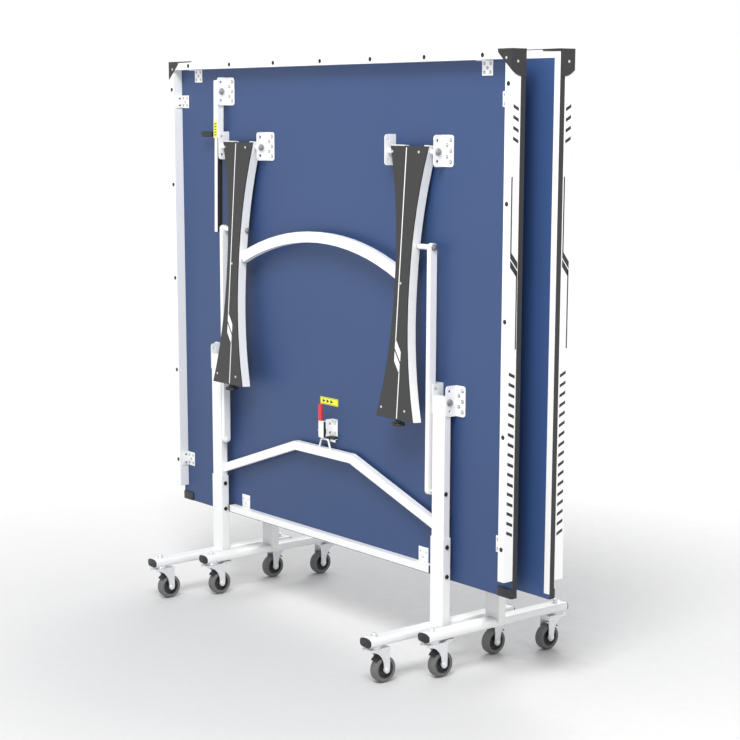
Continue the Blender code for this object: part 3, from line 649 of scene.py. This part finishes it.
def cap_shapes(sign, sizes):
    """A corner cap: a slanted plate on the lip, one on the side that runs down to the board's edge in
    a curve, and a tongue along the end that narrows from the lip and the board towards its tip."""
    wall = sizes.cap_wall
    corner, top, front = WIDE + PROUD, END + PROUD, LIP - PROUD
    share = np.linspace(0, 1, 11)
    reach = sizes.cap_reach * (1 - share)
    drop = 0.0060 + 0.0440 * share ** 0.95
    lip_edge = np.stack((sign * (corner - reach), np.full(11, front - wall), top - drop), axis=-1)
    lip_top = lip_edge * (1, 1, 0) + (0, 0, top + wall)
    run = np.linspace(0, front - wall, 11)
    curve = np.clip((np.abs(run) - 0.0163) / 0.030, 0, 1)
    low = top - 0.064 + 0.014 * curve ** 2
    side_low = np.stack((np.full(11, sign * (corner + wall)), run, low), axis=-1)
    side_top = side_low * (1, 1, 0) + (0, 0, top + wall)
    tongue = sizes.cap_tongue if sign < 0 else sizes.cap_reach
    along = np.linspace(0, tongue, 13)
    near = np.stack((sign * (corner - along), np.full(13, front - wall), np.full(13, top + wall)), axis=-1)
    behind = near * (1, 0, 1)
    board_side = shifted(behind, y=-np.interp(along, (0, tongue), (0.015, 0.005)))
    lip_side = shifted(near, y=np.interp(along, (0, 0.050, sizes.cap_tongue), (0.031, 0.012, 0.005)))
    hem = wall + np.interp(along, (0, tongue), (0.0032, 0.0012))
    play_hem = wall + np.interp(along, (0, tongue / 2), (0.0050, 0.0032))
    shapes = [
        (between(shifted(near, y=PROUD), shifted(near, y=PROUD, z=-hem), (0, wall, 0)), 0),
        (between(shifted(behind, y=PROUD)[:7], shifted(behind, y=PROUD, z=-play_hem)[:7], (0, wall, 0)), 0),
        (between(lip_edge, lip_top, (0, wall, 0)), 0),
        (between(side_low, side_top, (-sign * wall, 0, 0)), 0),
        (between(near, lip_side, (0, 0, -wall)), 0),
        (between(board_side, behind, (0, 0, -wall)), 0),
    ]
    shapes.append((dome((sign * (corner - 0.0190), front - wall, top - 0.0205), 0.0036, 0.0010), 1))
    shapes.append((dome((sign * (corner + wall), LIP + 0.0185, top - 0.0290), 0.0036, 0.0010, "X", sign), 1))
    return shapes


class TABLE_OT_caps(TableOperator):
    """Add the black caps on the end line's corners and the pads at the net edge"""

    bl_idname = "table.caps"
    bl_label = "Corner caps and pads"

    def build(self, half, sizes):
        for side, sign in SIDES:
            fitting(half, "corner_cap_" + side, "top", cap_shapes(sign, sizes),
                    ("black_plastic", "screw_white"), "black_plastic", bevel=0.0003)
            edges = sorted((sign * WIDE, sign * (WIDE - 0.0515)))
            pad = block((edges[0], BACK - 0.0045, NET), (edges[1], BACK - PROUD, NET + 0.026), 0.0018)
            fitting(half, "net_pad_" + side, "top", [(pad, 0)], ("black_plastic",), "black_plastic")


class TABLE_OT_apron_screws(TableOperator):
    """Add the black screws round the apron's lip"""

    bl_idname = "table.apron_screws"
    bl_label = "Apron screws"

    def build(self, half, sizes):
        heights = (1.5245, 1.236, 0.947, 0.657, 0.3685)
        places = [(x, END - 0.012) for x in np.linspace(-0.657, 0.657, 7)]
        places += [(sign * (WIDE - 0.0115), z) for _, sign in SIDES for z in heights]
        shapes = [(screw_head((x, LIP, z), sizes.screw, 0.0016), 0) for x, z in places]
        fitting(half, "apron_screws", "top", shapes, ("screw_black",), "black_plastic")


def clip(low, high, flange, sizes):
    """A small angle clip on the underside: a plate with a turned-up flange and its screws."""
    (x0, z0), (x1, z1) = low, high
    face = BACK - 0.0022
    shapes = [(block((x0, face, z0), (x1, BACK - PROUD, z1), 0.0009, 2), 0)]
    tall = 0.024
    if flange == "x":
        edge = x0 if x0 < 0 else x1 - 0.002
        shapes.append((block((edge, BACK - tall, z0), (edge + 0.002, BACK - PROUD, z1), 0.0009, 2), 0))
        way = 1 if x0 < 0 else -1
        seat = edge + 0.002 if x0 < 0 else edge
        for z in (z0 + 0.009, z1 - 0.009):
            shapes.append((screw_head((seat, BACK - 0.011, z), 0.0030, 0.0010, "X", way, 12), 2))
    else:
        shapes.append((block((x0, BACK - tall, z1 - 0.002), (x1, BACK - PROUD, z1), 0.0009, 2), 0))
    middle = (x0 + x1) / 2, (z0 + z1) / 2
    step = (x1 - x0) * 0.28, (z1 - z0) * 0.28
    for u, v in ((-1, -1), (1, -1), (0, 0), (-1, 1), (1, 1)):
        centre = (middle[0] + u * step[0], face, middle[1] + v * step[1])
        # Each white screw head sits on a black disc a little wider than it: painted shade round the screw
        # head.
        shapes.append((disc(centre, 0.0040, 0.0004, steps=12), 2))
        shapes.append((screw_head(centre, 0.0029, 0.0013, steps=12), 1))
    return shapes


class TABLE_OT_clips(TableOperator):
    """Add the small clips that hold the apron and the net bar to the board"""

    bl_idname = "table.clips"
    bl_label = "Clips"

    def build(self, half, sizes):
        shapes = []
        for _, sign in SIDES:
            for z0, z1 in ((1.469, 1.507), (0.3495, 0.393)):
                x0, x1 = sorted((sign * 0.7385, sign * 0.701))
                shapes += clip((x0, z0), (x1, z1), "x", sizes)
            x0, x1 = sorted((sign * 0.625, sign * 0.6645))
            shapes += clip((x0, 1.545), (x1, END - 0.0235), "z", sizes)
            x0, x1 = sorted((sign * 0.397, sign * 0.437))
            low = own_box(half, "net_bar")[1][2] + PROUD
            shapes += clip((x0, low), (x1, 0.306), "none", sizes)[:1]
            for u, z in ((-0.012, 0.2935), (0.012, 0.2935), (0, 0.2785)):
                centre = (sign * 0.417 + u, BACK - 0.0022, z)
                shapes.append((screw_head(centre, 0.0032, 0.0011, steps=12), 1))
        fitting(half, "clips", "top", shapes, ("powder_coat", "screw_white", "screw_black"), "white_steel")


HINGES = ("top_hinge_left", "top_hinge_right", "leg_hinge_left", "leg_hinge_right", "stay_bracket")
RIVETS = [(0.0265, 0), (0.0265, 0.0275), (0.0265, -0.0275), (0.0125, 0.0145), (0.0125, -0.0145)]
BRACKET_FOOT = 0.0365
BRACKET_RISE = 0.003
BRACKET_PLATE = 0.0027


class TABLE_OT_rivets(TableOperator):
    """Add the rivets of the folded hinge brackets and the hexagon bolts of their pivots"""

    bl_idname = "table.rivets"
    bl_label = "Rivets and hinge bolts"

    def build(self, half, sizes):
        shapes = []
        foot = BACK - 0.0028
        for node in HINGES:
            low, high = own_box(half, node)
            middle = (low[2] + high[2]) / 2
            feet = [(high[0] - BRACKET_FOOT, 1)]
            if node != "stay_bracket":
                feet.append((low[0] + BRACKET_FOOT, -1))
            for start, way in feet:
                for across, up in RIVETS:
                    centre = (start + way * across, foot, middle + up)
                    # Each rivet's dome sits on a black disc a little wider than it: painted shade of the
                    # groove round the rivet head.
                    shapes.append((disc(centre, sizes.rivet, 0.0005), 1))
                    shapes.append((dome(centre, sizes.rivet * 0.74, 0.0024), 0))
                pin_y = TOP_PIN_Y if node.startswith("top") else LEG_PIN_Y
                pin_z = middle if node == "stay_bracket" else middle - BRACKET_RISE
                shapes.append((bolt((start, pin_y, pin_z), sizes.bolt, way), 2))
        fitting(half, "rivets", "top", shapes, ("screw_white", "black_paint", "bolt"), "zinc_plate")


def bolt(face, radius, way):
    """A washer, a hexagon nut and the rounded end of its pin, off a plate's face along X."""
    washer = [(0, NEEDLE), (0, radius * 1.1), (0.0010, radius * 1.1), (0.0011, NEEDLE)]
    nut = [(0, NEEDLE), (0, radius), (0.0050, radius), (0.0058, radius * 0.84), (0.0058, 0.0046),
           (0.0074, 0.0042), (0.0080, 0.0028), (0.0080, NEEDLE)]
    rings = []
    for line, steps in ((washer, 20), (nut, 6)):
        line = [(way * (BRACKET_PLATE + along), around) for along, around in line]
        rings.append(lathe(line, face, "X", steps))
    first, second = rings
    points = np.concatenate((first[0], second[0]))
    return points, first[1] + [[corner + len(first[0]) for corner in item] for item in second[1]]


class TABLE_OT_net_bar_plugs(TableOperator):
    """Add the black plugs in the net bar's ends"""

    bl_idname = "table.net_bar_plugs"
    bl_label = "Net bar plugs"

    def build(self, half, sizes):
        low, high = own_box(half, "net_bar")
        shapes = []
        rim = 0.0005
        for start, stop in ((low[0] - 0.003, low[0] + 0.004), (high[0] - 0.004, high[0] + 0.003)):
            first, last = (start, low[1] - rim, low[2] - rim), (stop, high[1], high[2] + rim)
            shapes.append((block(first, last, 0.0015), 0))
        fitting(half, "net_bar_plugs", "top", shapes, ("black_plastic",), "black_plastic")


class TABLE_OT_latch_bracket(TableOperator):
    """Add the storage latch's bracket, pivot and the label over it"""

    bl_idname = "table.latch_bracket"
    bl_label = "Latch bracket"

    def build(self, half, sizes):
        back = BACK - PROUD
        low, high = own_box(half, "latch_handle")
        pin_y = (low[1] + high[1]) / 2
        plate = 0.0020
        left, right = float(high[0]) + 0.0004, 0.0398
        fold = left + plate
        bottom, top = 0.5525, 0.6020
        end = low[0] - 0.0030
        pin = [(end, NEEDLE), (end, 0.0042), (end + 0.0024, 0.0046), (end + 0.0026, 0.0028),
               (left + 0.0010, 0.0028), (left + 0.0010, NEEDLE)]
        shapes = [
            (block((left, back - 0.0262, bottom), (fold, back, top), 0.0009), 0),
            (block((left, pin_y - 0.0050, 0.5610), (fold, back - 0.0250, 0.5750), 0.0009), 2),
            (block((left, back - plate, bottom), (right, back, top), 0.0009), 0),
            (block((fold - 0.001, back - 0.009, top - plate), (right, back, top), 0.0009), 0),
            (block((left, back - 0.0100, bottom - 0.016), (right, back - 0.0080, bottom - 0.008), 0.0009), 0),
            (block((left, back - 0.0100, bottom - 0.0085), (right, back, bottom - 0.0070), 0.0006), 0),
            (block((-0.0080, back - 0.0125, bottom - 0.0085), (right - 0.001, back, bottom), 0.0015), 2),
            (lathe(pin, (0, pin_y, LATCH_PIN_Z), "X", 16), 3),
        ]
        for z in (0.5640, 0.5895):
            shapes.append((dome((0.0300, back - plate, z), 0.0042, 0.002), 1))
            shapes.append((dome((fold, back - 0.0125, z), 0.0034, 0.0014, "X", 1), 3))
        fitting(half, "latch_bracket", "top", shapes,
                ("powder_coat", "screw_white", "black_plastic", "bolt"), "white_steel")
        fitting(half, "latch_label", "top", label_shapes(back), ("label", "black_paint"), "red_grip",
                smooth=False)


def label_shapes(back):
    """The label over the latch: a yellow plate, a thin frame on it and three triangles."""
    shapes = [(block((-0.0416, back - 0.0004, 0.638), (0.0416, back, 0.659), 0.00019, 1), 0)]
    reach, under, over, line = 0.0400, 0.6396, 0.6574, 0.0009
    face, inner = back - 0.0006, back - 0.0003
    for (x0, z0), (x1, z1) in (
        ((-reach, under), (reach, under + line)), ((-reach, over - line), (reach, over)),
        ((-reach, under), (line - reach, over)), ((reach - line, under), (reach, over)),
    ):
        shapes.append((block((x0, face, z0), (x1, inner, z1), 0.0001, 1), 1))
    long, tall, middle = 0.012, 0.010, 0.6485
    for start in (-0.030, -0.012, 0.006):
        upper = [(start, face, middle + tall / 2), (start + long, face, middle)]
        lower = [(start, face, middle - tall / 2), (start + long, face, middle - 0.0003)]
        shapes.append((between(upper, lower, (0, 0.0003, 0)), 1))
    return shapes


def stay_line(half):
    """Where the stay's middle line runs: its middle X, and Y as a function of Z."""
    low, high = own_box(half, "stay_tube")
    slope = (LINK_PIN_Y - LEG_PIN_Y) / (STAY_PIN_Z - LINK_PIN_Z)
    return (low[0] + high[0]) / 2, lambda z: LEG_PIN_Y + slope * (STAY_PIN_Z - z)


class TABLE_OT_stay_trim(TableOperator):
    """Add the stay's yellow label, its collar and the washers of its grip"""

    bl_idname = "table.stay_trim"
    bl_label = "Stay trim"

    def build(self, half, sizes):
        x, line = stay_line(half)
        z = np.linspace(1.3825, 1.430, 5)
        middle = np.stack((np.full(5, x), line(z) - 0.0113, z), axis=-1)
        shapes = [(between(shifted(middle, x=-0.0085), shifted(middle, x=0.0085), (0, 0.0004, 0)), 0)]
        for at in (1.388, 1.396, 1.404, 1.412, 1.420):
            face = line(at) - 0.0115
            row = np.array([(x - 0.006, face, at), (x + 0.006, face, at + 0.002)])
            shapes.append((between(row, shifted(row, z=0.003), (0, 0.0003, 0)), 1))
        fitting(half, "stay_label", "stay_sleeve", shapes, ("label", "black_paint"), "red_grip", smooth=False)
        low, high = own_box(half, "stay_lock_pin")
        axis = (low[1] + high[1]) / 2, (low[2] + high[2]) / 2
        neck = x - 0.0101
        profile = [(0, 0.0040), (0, 0.0072), (-0.0052, 0.0072), (-0.0067, 0.0052), (-0.0067, 0.0038)]
        collar = lathe(profile, (neck, *axis), "X", 18)
        fitting(half, "stay_collar", "stay_sleeve", [(collar, 0)], ("zinc",), "zinc_plate")
        ribs = []
        start, stop = low[0], neck - 0.0175
        rib = [(-0.0012, 0.0070), (-0.0012, 0.0077), (0, 0.0080), (0.0012, 0.0077), (0.0012, 0.0070)]
        for share in np.linspace(0.12, 0.88, 7):
            ribs.append((ring_of(rib, (start + (stop - start) * share, *axis), "X", 24), 0))
        fitting(half, "stay_grip_ribs", "stay_lock", ribs, ("hub",), "black_plastic")


def cover_plane(half, side):
    """The front of a leg cover: its middle X, its top and bottom, and Y as a function of Z."""
    low, high = own_box(half, "leg_cover_" + side)
    tilt = math.tan(LEG_TILT)
    top_front = low[1] + tilt * (high[2] - low[2])
    return (low[0] + high[0]) / 2, low[2], high[2], lambda z: top_front - tilt * (high[2] - z) + 0.0001


def stripe(u_top, u_low, z_top, z_jog, z_low, width, cut=0.0145, rise=0.0285, gap=0.0045):
    """A pinstripe with a jog: a line, two slanted bars and a line, as pairs of (u, z) rails."""
    left, right = min(u_top, u_low) - width / 2, max(u_top, u_low) + width / 2
    lines = []
    for u, high, low in ((u_top, z_top, z_jog - cut / 2), (u_low, z_jog - rise - gap - cut, z_low)):
        near, far = ([(edge, high), (edge, low)] for edge in (u - width / 2, u + width / 2))
        lines.append((near, far))
    start, stop = (left, right) if u_top < u_low else (right, left)
    for drop in (0, cut + gap):
        upper = [(start, z_jog - drop), (stop, z_jog - rise - drop)]
        lower = [(start, z_jog - cut - drop), (stop, z_jog - rise - cut - drop)]
        lines.append((upper, lower))
    return lines


class TABLE_OT_cover_trim(TableOperator):
    """Add the leg covers' pinstripes and screws"""

    bl_idname = "table.cover_trim"
    bl_label = "Leg cover trim"

    def build(self, half, sizes):
        for side, _ in SIDES:
            x, low, high, face = cover_plane(half, side)
            shapes = []
            for first, second in stripe(-0.0105, 0.0105, high - 0.004, 0.873, low + 0.003, sizes.pinstripe,
                                        cut=0.026, rise=0.034, gap=0.008):
                rails = []
                for rail in (first, second):
                    u, z = np.array(rail).T
                    rails.append(np.stack((x + u, face(z) - PAINT * 1.5, z), axis=-1))
                shapes.append((between(rails[0], rails[1], (0, PAINT, 0)), 0))
            for u, z in ((-0.067, 1.356), (0.039, 1.356), (-0.004, 1.017), (-0.055, 0.686), (0.041, 0.686)):
                shapes.append((screw_head((x + u, face(z), z), sizes.cover_screw, 0.0016), 1))
            fitting(half, "cover_trim_" + side, "legs", shapes, ("white_paint", "screw_white"), "white_steel")


def ladder(z_top, z_low, count, width, y_middle):
    """A row of slanted bars down the apron, as pairs of (y, z) rails."""
    rows = []
    step = (z_top - z_low) / count
    for number in range(count):
        top = z_top - number * step
        rows.append(([(y_middle - width / 2, top), (y_middle + width / 2, top - 0.35 * step)],
                     [(y_middle - width / 2, top - 0.32 * step), (y_middle + width / 2, top - 0.67 * step)]))
    return rows


class TABLE_OT_apron_stripes(TableOperator):
    """Add the black stripes and bars on the apron's two sides"""

    bl_idname = "table.apron_stripes"
    bl_label = "Apron stripes"

    def build(self, half, sizes):
        shapes = []
        for _, sign in SIDES:
            x = sign * (APRON_HIGH[0] + PAINT * 1.5)
            upper, lower = (-0.0405, -0.0200) if sign > 0 else (-0.0215, -0.0405)
            rows = stripe(upper, lower, 1.302, 1.122, 0.878, sizes.apron_stripe, cut=0.018, gap=0.004)
            rows += ladder(0.822, 0.392, 17, 0.020, -0.0305)
            rows += ladder(1.476, 1.373, 4, 0.018, -0.0305)
            for first, second in rows:
                rails = []
                for rail in (first, second):
                    y, z = np.array(rail).T
                    rails.append(np.stack((np.full(len(y), x), y, z), axis=-1))
                shapes.append((between(rails[0], rails[1], (-sign * PAINT, 0, 0)), 0))
        fitting(half, "apron_stripes", "top", shapes, ("black_paint",), "black_plastic", smooth=False)


class TABLE_OT_rail_trim(TableOperator):
    """Add the foot rails' end plugs and nuts, and the bolts through the sleeves and posts"""

    bl_idname = "table.rail_trim"
    bl_label = "Rail trim"

    def build(self, half, sizes):
        shapes = []
        for side, sign in SIDES:
            low, high = own_box(half, "foot_rail_" + side)
            x = sign * POST_X
            under, over = 0.103, 0.127
            ends = ((low[1] - sizes.plug, low[1] + 0.001), (high[1] - 0.001, high[1] + sizes.plug))
            for start, stop in ends:
                shapes.append((plug((x, start, stop), 0.022 + PROUD, under - PROUD, over + PROUD), 0))
            for end in ("outer", "inner"):
                swivel = swivel_y(half, side, end)
                shapes.append((domed_nut((x, swivel, over), 0.0100, 0.0105), 1))
            for z in (0.333, 0.253):
                for way in (1, -1):
                    shapes.append((screw_head((x + way * 0.0262, -0.0443, z), 0.0062, 0.0032, "X", way), 2))
            shapes.append((screw_head((x + sign * 0.024, -0.0485, 0.476), 0.0060, 0.0030, "X", sign), 2))
        fitting(half, "rail_trim", "carriage", shapes, ("black_plastic", "zinc", "screw_black"),
                "black_plastic")


def plug(place, wide, under, over):
    """A tube's end plug: sections a little smaller at the outer face. Each is a squared oval, whose two
    reaches are cosine and sine to the power 0.62, with their signs kept."""
    x, start, stop = place
    middle, tall = (under + over) / 2, (over - under) / 2
    angle = np.linspace(0, 2 * np.pi, 33)[:-1]
    across, up = (np.sign(wave) * np.abs(wave) ** 0.62 for wave in (np.cos(angle), np.sin(angle)))
    rings = []
    outer, inner = (start, stop) if start < 0 else (stop, start)
    for share, size in ((0, 0.9), (0.25, 0.98), (0.5, 1), (1, 1)):
        y = np.full(32, outer + (inner - outer) * share)
        rings.append(np.stack((x + wide * size * across, y, middle + tall * size * up), axis=-1))
    return skin(rings)


def wheel_shapes(centre):
    """A wheel: a round-shouldered tyre, a dished hub with a rib and a plated bearing cap."""
    tyre = mirrored([(0.0122, 0.0245), (0.0130, 0.0262), (0.0130, 0.0300), (0.0121, 0.0325), (0.0098, 0.0341),
                     (0.0055, 0.0349)])
    tyre[6:6] = [(0, 0.0350)]
    tyre.append((0, 0.0240))
    hub = mirrored([(0.0122, 0.0060), (0.0122, 0.0095), (0.0085, 0.0108), (0.0078, 0.0185), (0.0108, 0.0202),
                    (0.0120, 0.0246)])
    cap = mirrored([(0.0128, 0.0047), (0.0128, 0.0078), (0.0119, 0.0082)])
    rings = ((tyre, 48), (hub, 40), (cap, 28))
    shapes = [(ring_of(line, centre, "X", steps), number) for number, (line, steps) in enumerate(rings)]
    for turn in np.arange(5) * 2 * np.pi / 5:
        out = np.array((0, math.cos(turn), math.sin(turn)))
        side = np.array((0, -math.sin(turn), math.cos(turn)))
        for face in (-1, 1):
            path = shifted(centre + out * np.array([[0.0095], [0.0140], [0.0195]]), x=face * 0.0072)
            shapes.append((strip(path, side * 0.0032, (face * 0.0026, 0, 0)), 1))
    return shapes


class TABLE_OT_leg_bolts(TableOperator):
    """Add the bolts where the links and the stay join the legs"""

    bl_idname = "table.leg_bolts"
    bl_label = "Leg bolts"

    def build(self, half, sizes):
        shapes = []
        for side, sign in SIDES:
            _, high = own_box(half, "link_" + side)
            pin = (LINK_PIN_Y, float(high[2]) - 0.011)
            if sign > 0:
                shapes.append((bolt((float(high[0]) + 0.0003 - BRACKET_PLATE, *pin), 0.0078, 1), 0))
            shapes.append((bolt((LEG_MIDDLE * sign + 0.0300, *pin), 0.0070, 1), 0))
        fitting(half, "leg_bolts", "legs", shapes, ("bolt",), "zinc_plate")


class TABLE_OT_wheels(TableOperator):
    """Replace the plain wheels with tyres, hubs and bearing caps"""

    bl_idname = "table.wheels"
    bl_label = "Wheels"

    def build(self, half, sizes):
        for side, _, end in CASTERS:
            node = f"caster_wheel_{side}_{end}"
            low, high = own_box(half, node)
            shapes = wheel_shapes((low + high) / 2)
            name = f"wheel_{side}_{end}"
            piece = fitting(half, name, name, shapes, ("tyre", "hub", "zinc"), "grey_rubber")
            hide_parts(f"{half}_{node}")


class TABLE_OT_caster_trim(TableOperator):
    """Add the axle nuts of the casters and the brake pedals of the inner ones"""

    bl_idname = "table.caster_trim"
    bl_label = "Caster trim"

    def build(self, half, sizes):
        for side, _, end in CASTERS:
            low, high = own_box(half, f"caster_fork_{side}_{end}")
            axle_low, axle_high = own_box(half, f"caster_wheel_{side}_{end}")
            axle = (axle_low + axle_high) / 2
            swivel = swivel_y(half, side, end)
            shapes = []
            for way, x in ((-1, low[0]), (1, high[0])):
                shapes.append((domed_side((x - way * 0.0026, axle[1], axle[2]), 0.0072, 0.0052, way), 0))
            race = lathe([(0, 0.010), (0, 0.0192), (-0.0022, 0.0205), (-0.0048, 0.0192), (-0.0052, 0.010)],
                         ((low[0] + high[0]) / 2, swivel, 0.1022), "Z", 32)
            shapes.append((race, 0))
            # A black strip over the wheel at the fork's nose: painted shade of the gap between the fork and
            # the wheel.
            away = np.sign(swivel - axle[1])
            angle = np.radians(np.linspace(40, 76, 8))[:, None]
            nose_shade = axle + 0.0392 * (np.cos(angle) * (0, away, 0) + np.sin(angle) * (0, 0, 1))
            shapes.append((strip(nose_shade, (0.0230, 0, 0), (0, 0, 0.0022)), 1))
            if end == "inner":
                shapes += pedal_shapes(axle, swivel)
            fitting(half, f"caster_trim_{side}_{end}", f"caster_{side}_{end}", shapes,
                    ("zinc", "black_plastic"), "zinc_plate")


def pedal_shapes(axle, swivel):
    """A brake pedal over the wheel: a bent plate with four ribs where the foot presses."""
    trail = np.sign(axle[1] - swivel)
    outline = np.array([(0.0300, 0.0905), (0.0440, 0.0905), (0.0660, 0.0955), (0.0680, 0.0985),
                        (0.0660, 0.1000), (0.0392, 0.1000), (0.0300, 0.0965)])
    middle = np.stack((np.full(7, axle[0]), swivel + trail * outline[:, 0], outline[:, 1]), axis=-1)
    shapes = [(skin(np.stack((shifted(middle, x=-0.0140), shifted(middle, x=0.0140)))), 0)]
    for run in (0.045, 0.051, 0.057, 0.063):
        first, last = np.sort((swivel + trail * run, swivel + trail * (run + 0.003)))
        rib = block((axle[0] - 0.0115, first, 0.0994), (axle[0] + 0.0115, last, 0.1007), 0.0006, 2)
        shapes.append((rib, 1))
    return shapes


def domed_side(centre, radius, height, way):
    """An axle's nut: a short hexagon-like drum with a domed end, along X."""
    profile = [(0, 0.2), (0, 1), (0.55, 1), (0.8, 0.8), (1, 0.3)]
    return lathe([(way * height * along, radius * around) for along, around in profile], centre, "X", 18)


def swivel_y(half, side, end):
    """Where a caster's swivel axis stands, from its fork's nose."""
    low, high = own_box(half, f"caster_fork_{side}_{end}")
    return low[1] + 0.025 if end == "outer" else high[1] - 0.025


class TABLE_OT_feet(TableOperator):
    """Add the raised rims of the levelling feet"""

    bl_idname = "table.feet"
    bl_label = "Levelling feet"

    def build(self, half, sizes):
        for side, _ in SIDES:
            low, high = own_box(half, "levelling_foot_" + side)
            x, y = (low[0] + high[0]) / 2, (low[1] + high[1]) / 2
            rim = [(0.0004, 0.0168), (0.0004, 0.0179), (0.0014, 0.0184), (0.0038, 0.0184), (0.0048, 0.0179),
                   (0.0048, 0.0168)]
            shapes = [(ring_of(rim, (x, y, low[2]), "Z", 36), 0)]
            fitting(half, "foot_trim_" + side, "level_" + side, shapes, ("black_plastic",), "black_plastic")


class TABLE_OT_stage(bpy.types.Operator):
    """Set up the floor, the soft light and the camera"""

    bl_idname = "table.stage"
    bl_label = "Stage"
    bl_options = {"REGISTER", "UNDO"}

    def execute(self, context):
        stage = context.scene.table_stage
        reach = np.linspace(0, 1, 30) ** 2 * 40 + 0.01
        points, faces = lathe(np.stack((np.full(30, -0.0006), reach), axis=-1), (0, 0, 0), "Z", 64)
        mesh = bpy.data.meshes.new("floor")
        mesh.from_pydata(points.tolist(), [], [face for face in faces if len(face) == 4 or face[0] < 64])
        mesh.materials.append(self.floor_paint(stage))
        floor = bpy.data.objects.new("floor", mesh)
        context.scene.collection.objects.link(floor)
        bm = bmesh.new()
        bm.from_mesh(mesh)
        bmesh.ops.recalc_face_normals(bm, faces=bm.faces)
        for face in bm.faces:
            if face.normal.z < 0:
                face.normal_flip()
        bm.to_mesh(mesh)
        bm.free()
        world = bpy.data.worlds.new("soft studio")
        world.use_nodes = True
        nodes, links = world.node_tree.nodes, world.node_tree.links
        nodes["Background"].inputs["Color"].default_value = (1, 1, 1, 1)
        seen = nodes.new("ShaderNodeLightPath")
        strength = nodes.new("ShaderNodeMapRange")
        strength.inputs["To Min"].default_value = stage.sky
        strength.inputs["To Max"].default_value = 1.0
        links.new(seen.outputs["Is Camera Ray"], strength.inputs["Value"])
        links.new(strength.outputs["Result"], nodes["Background"].inputs["Strength"])
        context.scene.world = world
        self.light("key", (2.3, -2.8, 5.0), (0, 0, 0.8), 2.6, stage.key)
        self.light("back", (-2.8, 3.4, 3.6), (0, 0, 0.8), 3.0, stage.key * 0.4)
        data = bpy.data.cameras.new("camera")
        camera = bpy.data.objects.new("camera", data)
        context.scene.collection.objects.link(camera)
        camera.location = stage.place
        camera.rotation_euler = (math.pi / 2 - stage.dip, 0, stage.turn)
        data.lens = stage.lens
        data.sensor_width = 36
        data.shift_x, data.shift_y = 0.0248, 0.0897
        data.clip_end = 200
        context.scene.camera = camera
        context.scene.view_settings.view_transform = "Standard"
        return {"FINISHED"}

    def floor_paint(self, stage):
        """Pale floor that glows a little far out, so that it meets the white behind it unseen."""
        paint = speckled("floor_paint", tuple(stage.floor), 30, 0.00001, 0.7, wear=0.004, edge=0)
        x, y, _ = paint.axes()
        square = paint.math("ADD", paint.math("MULTIPLY", x, x), paint.math("MULTIPLY", y, y))
        span = paint.math("SQRT", square)
        paint.set(Emission_Color=(1, 1, 1, 1))
        paint.link(paint.remap(span, 0.0, 0.75, 0.9, 6.0), paint.shader.inputs["Emission Strength"])
        return paint.material

    def light(self, name, place, towards, size, power):
        data = bpy.data.lights.new(name, "AREA")
        data.shape = "DISK"
        data.size = size
        data.energy = power
        lamp = bpy.data.objects.new(name, data)
        bpy.context.scene.collection.objects.link(lamp)
        lamp.location = place
        way = np.array(towards) - np.array(place)
        lean = math.atan2(math.hypot(way[0], way[1]), -way[2])
        lamp.rotation_euler = (lean, 0, math.atan2(way[1], way[0]) - math.pi / 2)


STEPS = (
    TABLE_OT_boards, TABLE_OT_parts, TABLE_OT_caps, TABLE_OT_apron_screws, TABLE_OT_clips,
    TABLE_OT_rivets, TABLE_OT_net_bar_plugs, TABLE_OT_latch_bracket, TABLE_OT_stay_trim,
    TABLE_OT_cover_trim, TABLE_OT_apron_stripes, TABLE_OT_rail_trim, TABLE_OT_leg_bolts,
    TABLE_OT_wheels, TABLE_OT_caster_trim, TABLE_OT_feet, TABLE_OT_stage,
)


class TABLE_PT_sidebar(bpy.types.Panel):
    """The table's steps in the 3D view's sidebar"""

    bl_idname = "TABLE_PT_sidebar"
    bl_label = "Table Tennis Table"
    bl_space_type = "VIEW_3D"
    bl_region_type = "UI"
    bl_category = "Table"

    def draw(self, context):
        for step in STEPS:
            self.layout.operator(step.bl_idname)
        for group in SETTINGS:
            settings = getattr(context.scene, group)
            for key in settings.__annotations__:
                self.layout.prop(settings, key)


SETTINGS = {
    "table_colours": TABLE_PG_colours,
    "table_gloss": TABLE_PG_gloss,
    "table_sizes": TABLE_PG_sizes,
    "table_stage": TABLE_PG_stage,
}
CLASSES = (*SETTINGS.values(), *STEPS, TABLE_PT_sidebar)


def register():
    for cls in CLASSES:
        bpy.utils.register_class(cls)
    for name, group in SETTINGS.items():
        setattr(bpy.types.Scene, name, bpy.props.PointerProperty(type=group))


def unregister():
    for name in SETTINGS:
        delattr(bpy.types.Scene, name)
    for cls in reversed(CLASSES):
        bpy.utils.unregister_class(cls)


def main():
    register()
    for step in STEPS:
        group, name = step.bl_idname.split(".")
        getattr(getattr(bpy.ops, group), name)()


if __name__ == "__main__":
    main()
